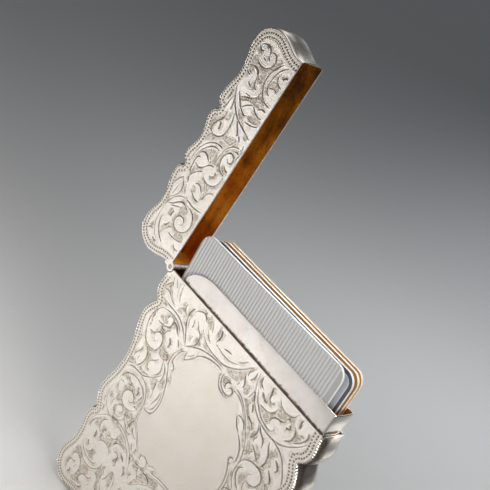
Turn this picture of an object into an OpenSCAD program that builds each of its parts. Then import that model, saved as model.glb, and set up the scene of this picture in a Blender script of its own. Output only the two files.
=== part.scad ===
// Hinged silver card case with a shaped outline.
// Frame: X across the case, Z up towards the lid, Y through its thickness.
// The back face lies on y = 0 and the engraved front faces -Y. The origin
// is the middle of the closed case's outline, on the back face.
// The lid is drawn closed and then swung open about the side hinge.

/* [Case] */
// Width over the widest lobes
case_w = 68.4; // [67:0.2:70]
// Height of the closed case over the lobes
case_h = 90.8; // [90.6:0.1:93]
// Thickness over the front and back faces
case_t = 8.5; // [8.3:0.1:10]
// Height of the mouth above the middle of the closed case
mouth_z = 28.2; // [28:0.1:28.4]
// How far the lid is swung open
lid_open = 86; // [0:1:90]

/* [Sheet] */
// Sheet thickness of the body's plates and side band
body_wall = 0.6; // [0.5:0.05:0.7]
// Sheet thickness of the lid's plates and side band
lid_wall = 0.45; // [0.4:0.05:0.5]
// Gap at the mouth between body and lid when closed
mouth_gap = 0.1; // [0.05:0.05:0.2]

/* [Collar] */
// Height of the collar above the mouth
collar_up = 5.8; // [5:0.1:6.5]
// Depth of the collar below the mouth
collar_down = 6; // [4:0.5:6]
// Sheet thickness of the collar
collar_wall = 0.4; // [0.3:0.05:0.45]
// Outside of the collar's end wall, from the middle of the case
collar_x = 30.75; // [30.5:0.05:30.8]
// Left end of the collar's long walls, towards the hinge
collar_left = -25.4; // [-26:0.1:-24]
// Width of the collar's swept corner
sweep_w = 9.5; // [8:0.5:11]

/* [Hinge] */
// Distance of the pin from the middle of the case
hinge_x = 31.4; // [31.2:0.1:31.5]
// Radius of the barrel
barrel_r = 1.05; // [1:0.01:1.08]
// Radius of the pin
pin_r = 0.4; // [0.35:0.01:0.41]
// Radius of the bore in the knuckles
bore_r = 0.45; // [0.42:0.01:0.46]
// Radius of the lid's ears over the ends of the barrel
ear_r = 1.25; // [1.2:0.05:1.3]
// Length of the hinge leaves
leaf_l = 5; // [4:0.5:5]

/* [Cards] */
// Card width
card_w = 53.98; // [50:0.02:53.98]
// Card length
card_l = 85.6; // [80:0.1:85.6]
// Card thickness
card_t = 0.76; // [0.3:0.02:0.8]
// Card corner radius
card_r = 3.18; // [2:0.01:4]

/* [Hidden] */

sx = case_w / 68.4;
sz = case_h / 90.8;
silver = [0.86, 0.85, 0.82];
bright = [0.93, 0.93, 0.91];
gilt = [0.72, 0.45, 0.16];

// One quarter of the closed outline, in three runs between the creases.
// Each run is a smooth curve through points set by hand: x, z.
run_top = [[0, 43.9], [2.4, 44.3], [4.6, 45.1], [6.3, 45.3], [7.8, 44.7],
           [8.6, 43.9], [8.8, 43.35]];
run_corner = [[8.8, 43.35], [9.2, 44.3], [10.4, 45.1], [12.4, 45.4],
              [15, 44.9], [17.5, 44.2], [20, 43.95], [22.6, 44.3],
              [25.2, 45.1], [27.6, 45.4], [30.2, 45], [32.3, 43.5],
              [33.7, 41], [34.2, 38], [33.6, 35.2], [32.6, 32.6],
              [32, 30.4], [31.9, 28.2], [32, 26.4], [32.4, 24.4],
              [32.5, 22.4], [31.9, 20.4], [31.2, 19.3], [30.4, 18.7]];
run_side = [[30.4, 18.7], [31.1, 17.8], [32, 16.2], [32.7, 14.4],
            [32.9, 12.4], [32.3, 9.4], [31.4, 6.6], [30.7, 3.4],
            [30.4, 0]];

// A point of the curve between b and c, with a and d as its neighbours
function curve_pt(a, b, c, d, t) =
    0.5 * ((2 * b) + (c - a) * t + (2 * a - 5 * b + 4 * c - d) * t * t
           + (3 * b - a - 3 * c + d) * t * t * t);
function at(p, i, before, after) =
    i < 0 ? before : i >= len(p) ? after : p[i];
function smooth(p, before, after, n = 3) = [
    for (i = [0 : len(p) - 2]) for (k = [0 : n - 1])
        curve_pt(at(p, i - 1, before, after), p[i], p[i + 1],
                 at(p, i + 2, before, after), k / n)];

// Quarter outline from the top centre to the middle of the side
quarter = concat(
    smooth(run_top, [-2.4, 44.3], [8.8, 42.8]),
    smooth(run_corner, [8.8, 42.6], [29.8, 18.5]),
    smooth(run_side, [29.8, 19.0], [30.7, -3.4]),
    [[30.4, 0]]);
scaled = [for (p = quarter) [p[0] * sx, p[1] * sz]];
last = len(scaled) - 1;
// Right half, from the top centre down to the bottom centre
half = concat(scaled, [for (i = [last - 1 : -1 : 0]) [scaled[i][0], -scaled[i][1]]]);
// The whole outline, clockwise from the top centre
outline = concat(half, [for (i = [len(half) - 2 : -1 : 1]) [-half[i][0], half[i][1]]]);
count = len(outline);

// The outline moved inwards by t, square to the line through each point's
// neighbours, and less at the creases, where the sheet is drawn thin
function inward(i, t) =
    let (a = outline[(i + count - 1) % count], b = outline[(i + 1) % count],
         d = b - a, m = norm(d),
         e1 = outline[i] - a, e2 = b - outline[i],
         c = (e1 * e2) / (norm(e1) * norm(e2)),
         k = c < 0.75 ? 0.7 : 1)
    outline[i] + t * k * [d[1], -d[0]] / m;

// Points of the outline below and above a height, in order around it
eps = 0.001;
mouth_x = [for (i = [0 : len(half) - 2])
           if (half[i][1] > mouth_z - eps && half[i + 1][1] <= mouth_z - eps)
           half[i][0] + (half[i + 1][0] - half[i][0])
           * (half[i][1] - mouth_z) / (half[i][1] - half[i + 1][1])][0];
below = [for (i = [0 : count - 1]) if (outline[i][1] < mouth_z - 0.2) i];
above_r = [for (i = [0 : len(half) - 1])
           if (half[i][1] > mouth_z + mouth_gap + 0.2) i];
above_l = [for (i = [len(half) : count - 1])
           if (outline[i][1] > mouth_z + mouth_gap + 0.2) i];

// Body: right end of the mouth, down around the bottom, left end
body_outer = concat([[mouth_x, mouth_z]], [for (i = below) outline[i]],
                    [[-mouth_x, mouth_z]]);
body_inner = concat([[mouth_x - body_wall, mouth_z]],
                    [for (i = below) inward(i, body_wall)],
                    [[-mouth_x + body_wall, mouth_z]]);
// Lid: left end of the mouth, up over the top, right end
lid_z = mouth_z + mouth_gap;
lid_idx = concat(above_l, above_r);
lid_outer = concat([[-mouth_x, lid_z]], [for (i = lid_idx) outline[i]],
                   [[mouth_x, lid_z]]);
lid_inner = concat([[-mouth_x + lid_wall, lid_z]],
                   [for (i = lid_idx) inward(i, lid_wall)],
                   [[mouth_x - lid_wall, lid_z]]);
function reversed(p) = [for (i = [len(p) - 1 : -1 : 0]) p[i]];

// An upright sheet: an XZ outline running from y = -from to y = -to
module sheet(pts, from, to) {
    translate([0, -from, 0]) rotate([90, 0, 0])
        linear_extrude(height = to - from) polygon(pts);
}
// A rod along Y at the hinge, from y = -from to y = -to
module rod(r, from, to) {
    translate([-hinge_x, -from, mouth_z]) rotate([90, 0, 0])
        cylinder(r = r, h = to - from, $fn = 48);
}
// Swings a closed lid piece open about the hinge
module swung() {
    translate([-hinge_x, 0, mouth_z]) rotate([0, -lid_open, 0])
        translate([hinge_x, 0, -mouth_z]) children();
}

notch_r = ear_r + 0.35;      // clearance around the lid's ears
clear_r = barrel_r + 0.2;    // clearance around the barrel
k1 = [body_wall, 2.75];              // rear body knuckle, from the back face
k2 = [2.85, case_t - 2.85];          // lid knuckle
k3 = [case_t - 2.75, case_t - body_wall]; // front body knuckle
leaf_x0 = barrel_r - 0.4;            // hinge leaf, from the pin's axis

/* Body */
module body_front_plate() {
    color(silver) difference() {
        sheet(body_outer, case_t - body_wall, case_t);
        rod(notch_r, case_t - body_wall - 1, case_t + 1);
    }
}
module body_back_plate() {
    color(silver) difference() {
        sheet(body_outer, 0, body_wall);
        rod(notch_r, -1, body_wall + 1);
    }
}
module body_side_band() {
    color(bright) difference() {
        sheet(concat(body_outer, reversed(body_inner)),
              body_wall, case_t - body_wall);
        rod(notch_r, body_wall - 1, case_t);
    }
}
// Narrow shelf between the collar's end wall and the side band
module mouth_ledge() {
    color(bright) translate([collar_x, -(case_t - body_wall), mouth_z - 0.5])
        cube([mouth_x - body_wall - collar_x, case_t - 2 * body_wall, 0.5]);
}

/* Collar */
// A long wall: square at the right end, swept down to the mouth at the left
collar_top = mouth_z + collar_up;
collar_pts = concat(
    [[collar_x, mouth_z - collar_down], [collar_x, collar_top]],
    [for (a = [90 : 6 : 180]) [collar_left + sweep_w + sweep_w * cos(a),
                               mouth_z + collar_up * sin(a)]],
    [[collar_left, mouth_z - collar_down]]);
module collar_front_wall() {
    color(silver) sheet(collar_pts, case_t - body_wall - collar_wall,
                        case_t - body_wall);
}
module collar_back_wall() {
    color(silver) sheet(collar_pts, body_wall, body_wall + collar_wall);
}
module collar_end_wall() {
    color(bright)
        translate([collar_x - collar_wall, -(case_t - body_wall - collar_wall),
                   mouth_z - collar_down])
        cube([collar_wall, case_t - 2 * (body_wall + collar_wall),
              collar_up + collar_down]);
}

/* Hinge */
module body_hinge_leaf() {
    color(gilt) difference() {
        union() {
            translate([leaf_x0 - hinge_x, -(case_t - body_wall),
                       mouth_z - leaf_l])
                cube([0.4, case_t - 2 * body_wall, leaf_l]);
            rod(barrel_r, k1[0], k1[1]);
            rod(barrel_r, k3[0], k3[1]);
        }
        rod(clear_r, k1[1], k3[0]);
        rod(bore_r, 0, case_t);
    }
}
module lid_hinge_leaf() {
    color(gilt) swung() difference() {
        union() {
            translate([leaf_x0 - hinge_x, -(case_t - lid_wall),
                       mouth_z + mouth_gap])
                cube([0.4, case_t - 2 * lid_wall, leaf_l]);
            rod(barrel_r, k2[0], k2[1]);
        }
        rod(clear_r, 0, k2[0] - 0.05);
        rod(clear_r, k2[1] + 0.05, case_t);
        rod(bore_r, 0, case_t);
    }
}
module hinge_pin() {
    color(bright) rod(pin_r, 0.05, case_t - 0.05);
}

/* Lid */
module lid_plate(from, to) {
    difference() {
        union() {
            sheet(lid_outer, from, to);
            rod(ear_r, from, to);
        }
        rod(bore_r, from - 1, to + 1);
    }
}
module lid_front_plate() {
    color(silver) swung() lid_plate(case_t - lid_wall, case_t);
}
module lid_back_plate() {
    color(silver) swung() lid_plate(0, lid_wall);
}
module lid_side_band() {
    color(bright) swung() difference() {
        sheet(concat(lid_outer, reversed(lid_inner)),
              lid_wall, case_t - lid_wall);
        rod(clear_r, 0, case_t);
    }
}

/* Cards */
// A plain card standing in the case: x offset, distance of its back from
// the back face, lift above the lowest seat, and lean in its own plane
module card(dx, from, lift, lean) {
    r = card_r;
    translate([dx, -from, -42.86 * sz + lift + card_l / 2])
        rotate([0, -lean, 0]) rotate([90, 0, 0])
        translate([-card_w / 2, -card_l / 2, 0]) union() {
            translate([r, 0, 0]) cube([card_w - 2 * r, card_l, card_t]);
            translate([0, r, 0]) cube([card_w, card_l - 2 * r, card_t]);
            for (x = [r, card_w - r], y = [r, card_l - r])
                translate([x, y, 0]) cylinder(r = r, h = card_t, $fn = 48);
        }
}
module card_1() { color([0.74, 0.74, 0.73]) card(0.1, case_t - 2.01, 0.16, 0.6); }
module card_2() { color([0.8, 0.83, 0.88]) card(1.8, case_t - 3.66, 0.04, 0.1); }
module card_3() { color([0.78, 0.5, 0.22]) card(1.9, case_t - 5.41, 0.08, 0.1); }
module card_4() { color([0.7, 0.45, 0.25]) card(1.7, case_t - 7.26, 0.12, 0.2); }

body_front_plate();
body_back_plate();
body_side_band();
mouth_ledge();
collar_front_wall();
collar_back_wall();
collar_end_wall();
body_hinge_leaf();
lid_front_plate();
lid_back_plate();
lid_side_band();
lid_hinge_leaf();
hinge_pin();
card_1();
card_2();
card_3();
card_4();
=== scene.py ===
import bpy, bmesh, math
import numpy as np
from mathutils import Matrix, Vector


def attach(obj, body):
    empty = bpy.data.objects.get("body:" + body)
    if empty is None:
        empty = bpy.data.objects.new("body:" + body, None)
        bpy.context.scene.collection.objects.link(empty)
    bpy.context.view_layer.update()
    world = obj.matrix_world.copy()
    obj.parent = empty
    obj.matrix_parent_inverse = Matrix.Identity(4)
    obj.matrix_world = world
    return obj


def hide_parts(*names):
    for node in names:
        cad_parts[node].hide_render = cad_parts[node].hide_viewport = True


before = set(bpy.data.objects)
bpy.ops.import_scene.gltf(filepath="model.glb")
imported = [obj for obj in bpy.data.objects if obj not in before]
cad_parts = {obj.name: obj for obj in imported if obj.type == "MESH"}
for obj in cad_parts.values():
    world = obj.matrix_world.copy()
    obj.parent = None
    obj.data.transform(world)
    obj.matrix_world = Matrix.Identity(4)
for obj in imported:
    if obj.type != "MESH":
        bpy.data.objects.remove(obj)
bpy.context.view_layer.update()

MM = 0.001
T = 8.5                 # thickness of the case
MID = -T / 2
HX, HZ = -31.4, 28.2    # hinge axis
OPEN = math.radians(86)
MOUTH = 28.2
LID0 = 28.3
RIM = 0.9               # width of the rounded rim outside the flat of a plate
CELL = 0.14

# ---------------------------------------------------------------- outline
RUN_TOP = [(0, 43.9), (2.4, 44.3), (4.6, 45.1), (6.3, 45.3), (7.8, 44.7), (8.6, 43.9), (8.8, 43.35)]
RUN_CORNER = [(8.8, 43.35), (9.2, 44.3), (10.4, 45.1), (12.4, 45.4), (15, 44.9), (17.5, 44.2), (20, 43.95), (22.6, 44.3),
              (25.2, 45.1), (27.6, 45.4), (30.2, 45), (32.3, 43.5), (33.7, 41), (34.2, 38), (33.6, 35.2), (32.6, 32.6),
              (32, 30.4), (31.9, 28.2), (32, 26.4), (32.4, 24.4), (32.5, 22.4), (31.9, 20.4), (31.2, 19.3), (30.4, 18.7)]
RUN_SIDE = [(30.4, 18.7), (31.1, 17.8), (32, 16.2), (32.7, 14.4), (32.9, 12.4), (32.3, 9.4), (31.4, 6.6), (30.7, 3.4), (30.4, 0)]


def spline(p, before=None, after=None, n=8):
    """Catmull-Rom curve through the points."""
    p = np.array(p, float)
    if len(p) < 2:
        return p
    a = np.array(before, float) if before is not None else 2 * p[0] - p[1]
    b = np.array(after, float) if after is not None else 2 * p[-1] - p[-2]
    q = np.vstack([a, p, b])
    t = (np.arange(n) / n)[:, None]
    out = []
    for i in range(1, len(q) - 2):
        p0, p1, p2, p3 = q[i - 1], q[i], q[i + 1], q[i + 2]
        out.append(0.5 * (2 * p1 + (p2 - p0) * t + (2 * p0 - 5 * p1 + 4 * p2 - p3) * t ** 2 + (3 * p1 - p0 - 3 * p2 + p3) * t ** 3))
    out.append(p[-1:])
    return np.vstack(out)


def resample(p, step):
    s = np.r_[0, np.cumsum(np.hypot(*np.diff(p, axis=0).T))]
    n = max(2, int(round(s[-1] / step)) + 1)
    u = np.linspace(0, s[-1], n)
    return np.c_[np.interp(u, s, p[:, 0]), np.interp(u, s, p[:, 1])]


def outline():
    """Samples of the closed outline, clockwise from the left crease of the top, with inward normals. The normals fan out at each crease."""
    top = spline(RUN_TOP, (-2.4, 44.3), (8.8, 42.8))
    cor = spline(RUN_CORNER, (8.8, 42.6), (29.8, 18.5))
    side = spline(RUN_SIDE, (29.8, 19.0), (30.7, -3.4))
    fx, fz = np.array([-1, 1]), np.array([1, -1])
    top2 = np.vstack([(top * fx)[::-1], top[1:]])
    side2 = np.vstack([side, (side * fz)[::-1][1:]])
    runs = [top2, cor, side2, (cor * fz)[::-1], (top2 * fz)[::-1], cor * -1, (side2 * fx)[::-1], (cor * fx)[::-1]]
    P, N = [], []
    for r in runs:
        r = resample(r, CELL)
        d = np.gradient(r, axis=0)
        for _ in range(2):
            d[1:-1] = (d[:-2] + 2 * d[1:-1] + d[2:]) / 4
        n = np.c_[d[:, 1], -d[:, 0]]
        n /= np.hypot(*n.T)[:, None]
        P.append(r - 0.0 * n)
        N.append(n)
    PP, NN = [], []
    for i in range(8):
        PP.append(P[i]); NN.append(N[i])
        a, b = N[i][-1], N[(i + 1) % 8][0]
        ang = math.atan2(a[0] * b[1] - a[1] * b[0], a @ b)
        k = max(2, int(abs(ang) / 0.16))
        base = math.atan2(a[1], a[0])
        for j in range(1, k):
            w = base + ang * j / k
            PP.append(P[i][-1:]); NN.append(np.array([[math.cos(w), math.sin(w)]]))
    return np.vstack(PP), np.vstack(NN)


OUT_P, OUT_N = outline()
OUT_P = OUT_P + 0.03 * OUT_N * 1.0


def cut_run(z_start, x_start, z_end, x_end):
    """The part of the outline, clockwise, from one side's crossing of a height to another."""
    n = len(OUT_P)

    def crossing(z, left):
        best = None
        for i in range(n):
            a, b = OUT_P[i], OUT_P[(i + 1) % n]
            if (a[0] < 0) != left or (a[1] - z) * (b[1] - z) > 0 or a[1] == b[1]:
                continue
            best = i, (z - a[1]) / (b[1] - a[1])
            break
        return best
    i0, t0 = crossing(z_start, x_start < 0)
    i1, t1 = crossing(z_end, x_end < 0)

    def at(i, t):
        j = (i + 1) % n
        p = OUT_P[i] * (1 - t) + OUT_P[j] * t
        m = OUT_N[i] * (1 - t) + OUT_N[j] * t
        return p, np.array([math.copysign(1, m[0]), 0.0])
    p0, n0 = at(i0, t0)
    p1, n1 = at(i1, t1)
    idx = []
    i = (i0 + 1) % n
    while True:
        idx.append(i)
        if i == i1:
            break
        i = (i + 1) % n
    P = np.vstack([p0, OUT_P[idx], p1])
    N = np.vstack([n0, OUT_N[idx], n1])
    # the normals lie level at the mouth, so that the rim is cut square there
    for end in (0, 1):
        d = np.hypot(*(P - (P[0] if end == 0 else P[-1])).T)
        w = np.clip(d / 1.6, 0, 1)[:, None]
        w = w * w * (3 - 2 * w)
        near = (d < 1.6)[:, None]
        N = np.where(near, N * w + (n0 if end == 0 else n1) * (1 - w), N)
    N /= np.hypot(*N.T)[:, None]
    return P, N


# ---------------------------------------------------------------- engraving, drawn in mm on the closed case
# Each cut: width of the graver's line, then its points x, z.
FRAME = [
    (.36, (-14.3, 15.9), (-12.4, 17.3), (-10, 18.7), (-7.6, 19.6), (-5, 20.2), (-2.6, 20.4), (-.4, 20.4)),
    (.34, (-9.4, 16.8), (-7.6, 18.2), (-5.2, 19.2), (-2.6, 19.7), (-.2, 19.7)),
    (.40, (-14, 15.4), (-15.3, 13.5), (-15.9, 12), (-16.1, 10.4), (-15.8, 8.7), (-15, 7.4), (-14, 5.7), (-13.1, 4), (-12.3, 2), (-11.8, 0),
     (-11.6, -2), (-11.9, -4.1), (-12.8, -5.6), (-14.2, -6.1), (-15.3, -5.8), (-15.6, -4.9), (-14.9, -4.2)),
    (.36, (-12.9, 15.2), (-14.3, 14.1), (-14.9, 12.5), (-15.2, 10.9), (-14.8, 9.9), (-14, 9.5), (-13.5, 8.8), (-13.8, 8.1), (-14.5, 7.9)),
    (.34, (-12.6, 15.6), (-12.3, 13.3), (-10.3, 15.1), (-9, 17.1), (-8, 18)),
    (.26, (-12, 14.6), (-10.8, 15.6), (-10.1, 16.6)),
    (.32, (-13, 2), (-12.5, 0), (-12.4, -2), (-12.8, -3.9), (-13.7, -5), (-14.6, -5.1)),
    (.48, (-13.2, 1.2), (-13.2, -.6), (-13.6, -2.4), (-14, -3.6)),
    (.32, (-15.9, 1.8), (-15.8, 0), (-15.4, -1.4), (-15.3, -3.4)),
    (.26, (-13.8, 7.2), (-12.7, 6.5), (-12.1, 5.2), (-13, 5.6), (-13.8, 7)),
    (.36, (-16.9, 7.8), (-15.8, 6.6), (-15.3, 5.3), (-15.2, 3.8), (-15.7, 2.4)),
    # scroll at the top
    (.42, (.6, 20), (.3, 19), (.5, 17.9), (1.3, 16.8), (2.5, 16.1), (3.8, 16), (4.8, 16.5), (5.2, 17.5), (4.7, 18.3), (3.9, 18.2), (3.4, 17.5)),
    (.26, (-.3, 19.6), (-.5, 18.3), (0, 17.2), (1, 16), (2.2, 15.5), (3.6, 15.4), (4.6, 15.6)),
    (.40, (2.9, 17), (2.3, 17.4), (2.3, 18.3), (2.8, 19), (3.7, 19.3)),
    (.42, (4.8, 19.5), (6.8, 19.3), (8.4, 18.7), (10.2, 17.5), (12, 16), (13.5, 14.2), (14.9, 12.4), (16, 10.5), (16.8, 8.3), (17.1, 6.4), (16.8, 4.6)),
    (.32, (5, 18.5), (6.8, 18.6), (8.6, 18), (10.3, 16.9), (12, 15.3), (13.4, 13.6), (14.3, 12.5)),
    (.36, (9.5, 15.1), (10.2, 13.9), (11.4, 12.6), (12.7, 11.9)),
    (.30, (9.6, 15.1), (11.2, 15.2), (12.5, 14.6), (13.5, 13.2)),
    (.24, (10.4, 14.6), (11.4, 13.5)),
    (.42, (12.7, 11.7), (14.3, 10.3), (15.4, 8.8), (16, 7), (15.9, 5.6), (15.3, 4.8)),
    (.36, (15.6, 4.6), (14.9, 4.3), (14.3, 4.8), (14.4, 5.6), (15.1, 5.9), (15.7, 5.5)),
    (.40, (14.6, 4.2), (15.4, 2.8), (16, 1.2), (16.4, -.6), (16.5, -2.6), (16.4, -4.5)),
    (.36, (15.7, 3.8), (16.4, 2.3), (17, .6), (17.2, -1), (17.1, -3), (16.9, -5)),
    # lower left and foot
    (.40, (-21.5, -.4), (-19.4, -.7), (-18, -1.6), (-17, -3), (-16.2, -4.6), (-16, -6.4), (-16.1, -8.4), (-15.8, -10.2), (-15, -11.6),
     (-13.6, -12.8), (-12.2, -14.2), (-10.8, -15.5), (-9.4, -16.7), (-7.8, -17.4)),
    (.34, (-15.7, -5.8), (-15.6, -7.8), (-15.3, -9.8), (-14.6, -11.2), (-13.2, -12.4), (-11.8, -13.8), (-10.4, -15.1), (-9, -16.2)),
    (.34, (-7, -16.9), (-7.6, -17.4), (-8.2, -16.9), (-8, -16.1), (-7, -15.6), (-5.8, -15.9), (-5.2, -16.9), (-5.6, -18), (-6.8, -18.8),
     (-8.4, -19.1), (-10, -18.8), (-11.6, -17.6), (-13, -16)),
    (.30, (-4.9, -17.2), (-4.3, -16.1), (-3.2, -15.4), (-2.2, -15.1), (-2.1, -15.8), (-3.1, -16.6), (-4.4, -17.3)),
    (.36, (-5, -17.6), (-2.6, -16.9), (0, -16.1), (2.6, -15.7), (5, -15.6), (7.4, -15.2), (9.6, -14.2), (11.8, -12.8), (13.6, -10.8),
     (14.9, -8.6), (15.8, -6.4), (16.4, -4.4)),
    (.34, (-6, -18.6), (-3.4, -17.9), (-.4, -17), (2.4, -16.6), (5, -16.5), (7.6, -16), (10, -14.9), (12.4, -13.6), (14.4, -11.4),
     (15.8, -9), (16.6, -6.6), (17, -4.6)),
    (.46, (-6.8, -19.2), (-4.4, -18.9), (-2.4, -19.3), (-1.5, -20.3)),
]
TOP = [
    (.36, (-28.4, 27.6), (-27.9, 26.3), (-27, 24.6)),
    (.28, (-27.2, 27.7), (-26.2, 26.3), (-25.4, 25.6)),
    (.32, (-24.2, 27.9), (-23.9, 26), (-23.4, 24.5), (-22.6, 23.1)),
    (.30, (-29.0, 27.6), (-29.8, 25.4), (-30.4, 23.6), (-30.5, 22.4)),
    (.42, (-27.9, 25.9), (-29, 24.4), (-29.9, 22.9), (-30.2, 22)),
    (.32, (-29.2, 22.9), (-27.4, 23.2), (-25.4, 22.2), (-23.4, 21.3)),
    (.28, (-27.4, 24.4), (-25.6, 22.9), (-24.2, 22), (-22.9, 21.4)),
    (.24, (-25.9, 27.9), (-25.3, 26.6), (-24.6, 24.6), (-23.8, 23.2)),
    (.50, (-17.2, 25.6), (-17.9, 24.3), (-18.1, 23), (-17.6, 21.1), (-16.5, 19.4), (-15.1, 17.4), (-14.3, 16)),
    (.24, (-16.6, 24.9), (-17.1, 22.7), (-16.6, 21), (-15.7, 19.2)),
    (.32, (-16.9, 25), (-15.6, 26.1), (-14.1, 26.7), (-12.9, 26.3), (-12.2, 25.1)),
    (.36, (-19.8, 25), (-20.2, 23.9), (-19.4, 22.8), (-18.2, 22.2)),
    (.36, (-14.5, 23.9), (-13, 22.2), (-11.9, 21.7), (-11.4, 20.2), (-11.5, 18.8), (-12.7, 17.3), (-13.8, 16.4)),
    (.24, (-15.7, 23.5), (-15.3, 22.3), (-15.2, 21.2)),
    (.24, (-13.5, 19.9), (-13.8, 18.7), (-13.5, 17.7)),
    (.38, (-12, 23.4), (-11, 22.6), (-9.2, 21.4), (-7, 20.9), (-4, 20.8), (-1.5, 21), (1, 22), (3, 23.3), (4.6, 24.7), (6, 26.3), (7.3, 27.5)),
    (.26, (-6.6, 23.4), (-5, 23.2), (-3, 22.9), (-1, 22.9), (1, 23.5), (2.6, 24.4)),
    (.32, (-10.8, 27.6), (-9.6, 25.8), (-9, 24.6)),
    (.30, (-13.7, 27.4), (-12.5, 25.6)),
    (.28, (-10.6, 24.6), (-9.2, 22.9), (-7.6, 22.2)),
    (.44, (-6.6, 27.3), (-6.1, 25.8), (-6.4, 24.4), (-6.5, 23.4)),
    (.26, (-5.2, 27.4), (-5.4, 26.1)),
    (.34, (-3.6, 24.2), (-2.2, 24.6), (-.6, 24.8)),
    (.26, (1.8, 24.7), (3.2, 25.5), (4.6, 27.1)),
    (.32, (8.3, 26.7), (8.2, 25), (7.4, 23.9)),
    (.32, (6.9, 26.3), (6.3, 25.2), (6.4, 24.2)),
    (.40, (5.6, 23.8), (6.3, 22.9), (6.9, 21.8), (6.8, 20.8)),
    (.28, (5.4, 21.3), (5.1, 20.3)),
    (.38, (9, 27.2), (9.5, 24.9), (10.4, 22.7), (11.5, 21.1), (12.8, 19.9), (14.8, 18.8), (16.8, 18.2), (19, 17.9), (21.2, 18), (23.3, 18.5),
     (25.2, 19.6), (26.8, 21), (28.3, 22.6), (29.3, 24.3)),
    (.38, (10.8, 24), (11.7, 22.5), (12.8, 21.3), (14.2, 20.3), (15.6, 19.4), (17.2, 19), (18.8, 18.8), (19.8, 19.2), (20.1, 20), (19.5, 20)),
    (.40, (10.2, 27.6), (10.3, 26.4), (10.8, 25.5), (11.8, 25.1)),
    (.46, (13.9, 27.3), (14.4, 25.9), (14.6, 24.8), (15.4, 24.1), (16.2, 24.3), (16.3, 24.9)),
    (.34, (12.2, 24.4), (13.4, 23.5), (14.6, 23.1)),
    (.36, (12.9, 21.7), (15, 21.6), (16.6, 22), (17.7, 23.1), (18.1, 24.6)),
    (.32, (17.2, 27), (18.3, 25.7), (19.8, 25.3), (21.4, 25.5), (22.7, 26.3), (23.4, 27.7)),
    (.38, (18, 19.8), (17.9, 21.3), (18.7, 22.4), (20.3, 22.9), (21.2, 23.4), (21.3, 24.3), (22, 25.1)),
    (.42, (22.2, 22.9), (23.1, 22.9), (23.3, 23.5), (22.8, 23.9)),
    (.22, (23.2, 26), (23.2, 24.6)),
    (.46, (24.2, 24.8), (25, 23.7), (25.3, 22.4), (24.8, 21), (23.6, 20)),
    (.32, (25, 27.4), (25, 26.3), (25.5, 25.3)),
    (.50, (27.8, 26.3), (28.4, 25.4), (28.2, 24.2), (27.3, 22.8), (25.9, 21.4)),
    (.30, (10.2, 23.2), (10, 21.8), (9.6, 20.2)),
    (.44, (11.6, 20.2), (12.4, 19.2), (12.6, 18.3)),
    (.30, (11, 20), (10.6, 19.2), (10.9, 18.4)),
]
LEFT = [
    (.38, (-30.2, 20.6), (-28, 20.6), (-25, 20.5), (-22.5, 20.5), (-20.2, 20.2), (-18, 19.2), (-16.2, 17.8), (-14.6, 16)),
    (.36, (-25.2, 19), (-23.8, 19.3), (-22.4, 19.3), (-20.6, 19.1), (-19.2, 18.5), (-18.1, 17.6), (-17.4, 16.5)),
    (.40, (-23, 18.6), (-23.4, 18.3), (-23.2, 17.7)),
    (.36, (-23.2, 18.4), (-22.4, 18.8), (-21.4, 18.7), (-21.1, 17.7), (-21.5, 16.2), (-22.7, 15.4), (-23.5, 14.9), (-23.6, 13.3)),
    (.42, (-20.8, 18.3), (-19.5, 17.9), (-18.5, 17), (-17.4, 16.4)),
    (.36, (-20.3, 15.9), (-21.4, 14.9), (-21.8, 13.8), (-22.4, 13)),
    (.28, (-23.5, 14.2), (-21.9, 14.3)),
    (.28, (-23.6, 13.6), (-21.9, 13.7)),
    (.36, (-25.8, 15), (-24.6, 15), (-23.6, 15.2)),
    (.40, (-19.8, 14.2), (-19, 13.5), (-18.7, 12.5), (-18.9, 11.4)),
    (.34, (-17.2, 15.8), (-16.3, 15), (-15.7, 14.1)),
    (.34, (-26.9, 11.3), (-25.3, 11.4), (-24.7, 12.1)),
    (.38, (-22.6, 11), (-22.8, 10.3), (-23.6, 10), (-24.4, 10.6), (-24.5, 11.7), (-23.8, 12.7), (-22.6, 13), (-21.5, 12.3), (-21, 11),
     (-21.1, 9.6), (-21.8, 8.3), (-23.4, 7.6), (-25.4, 7.7), (-27, 8.8), (-28, 10.6), (-28.7, 12.8), (-28.6, 15), (-27.8, 17), (-26.6, 18.6), (-25.2, 19)),
    (.34, (-29.4, 18.6), (-30, 16.6), (-30.2, 14.4), (-30.1, 12.2), (-29.4, 10), (-28.4, 8.6)),
    (.36, (-27.9, 15.8), (-27.7, 14.8)),
    (.36, (-28, 10.2), (-27, 8.7), (-25.4, 7.3), (-23.6, 6.9), (-22.2, 7.6), (-21.2, 8.7)),
    (.42, (-26, 6.2), (-25.9, 5.1), (-26.5, 3.9), (-27.1, 2.7), (-27.1, 1.9)),
    (.42, (-24.8, 7), (-23.7, 6), (-23.1, 4.4), (-23.3, 2.8), (-24, 1.4), (-25, .2)),
    (.28, (-25.4, 3.4), (-25.4, 2)),
    (.34, (-19.2, 7.5), (-19.9, 6.3), (-21, 5.5), (-21.7, 4.5), (-21.6, 3.4), (-20.9, 2.7), (-20.1, 3.1)),
    (.34, (-17.9, 8.6), (-17.2, 6.8), (-16.8, 5.2), (-17.4, 3.6), (-18.6, 2.4)),
    (.30, (-18.3, 10.6), (-17.2, 9.6), (-16.8, 8.2)),
    (.40, (-15.7, 4.8), (-16.9, 3.3), (-18.2, 2), (-19.6, 1), (-21, .2), (-22.6, -.1), (-24.6, -.3), (-26.3, -.9), (-27.6, -1.9)),
]
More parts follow.
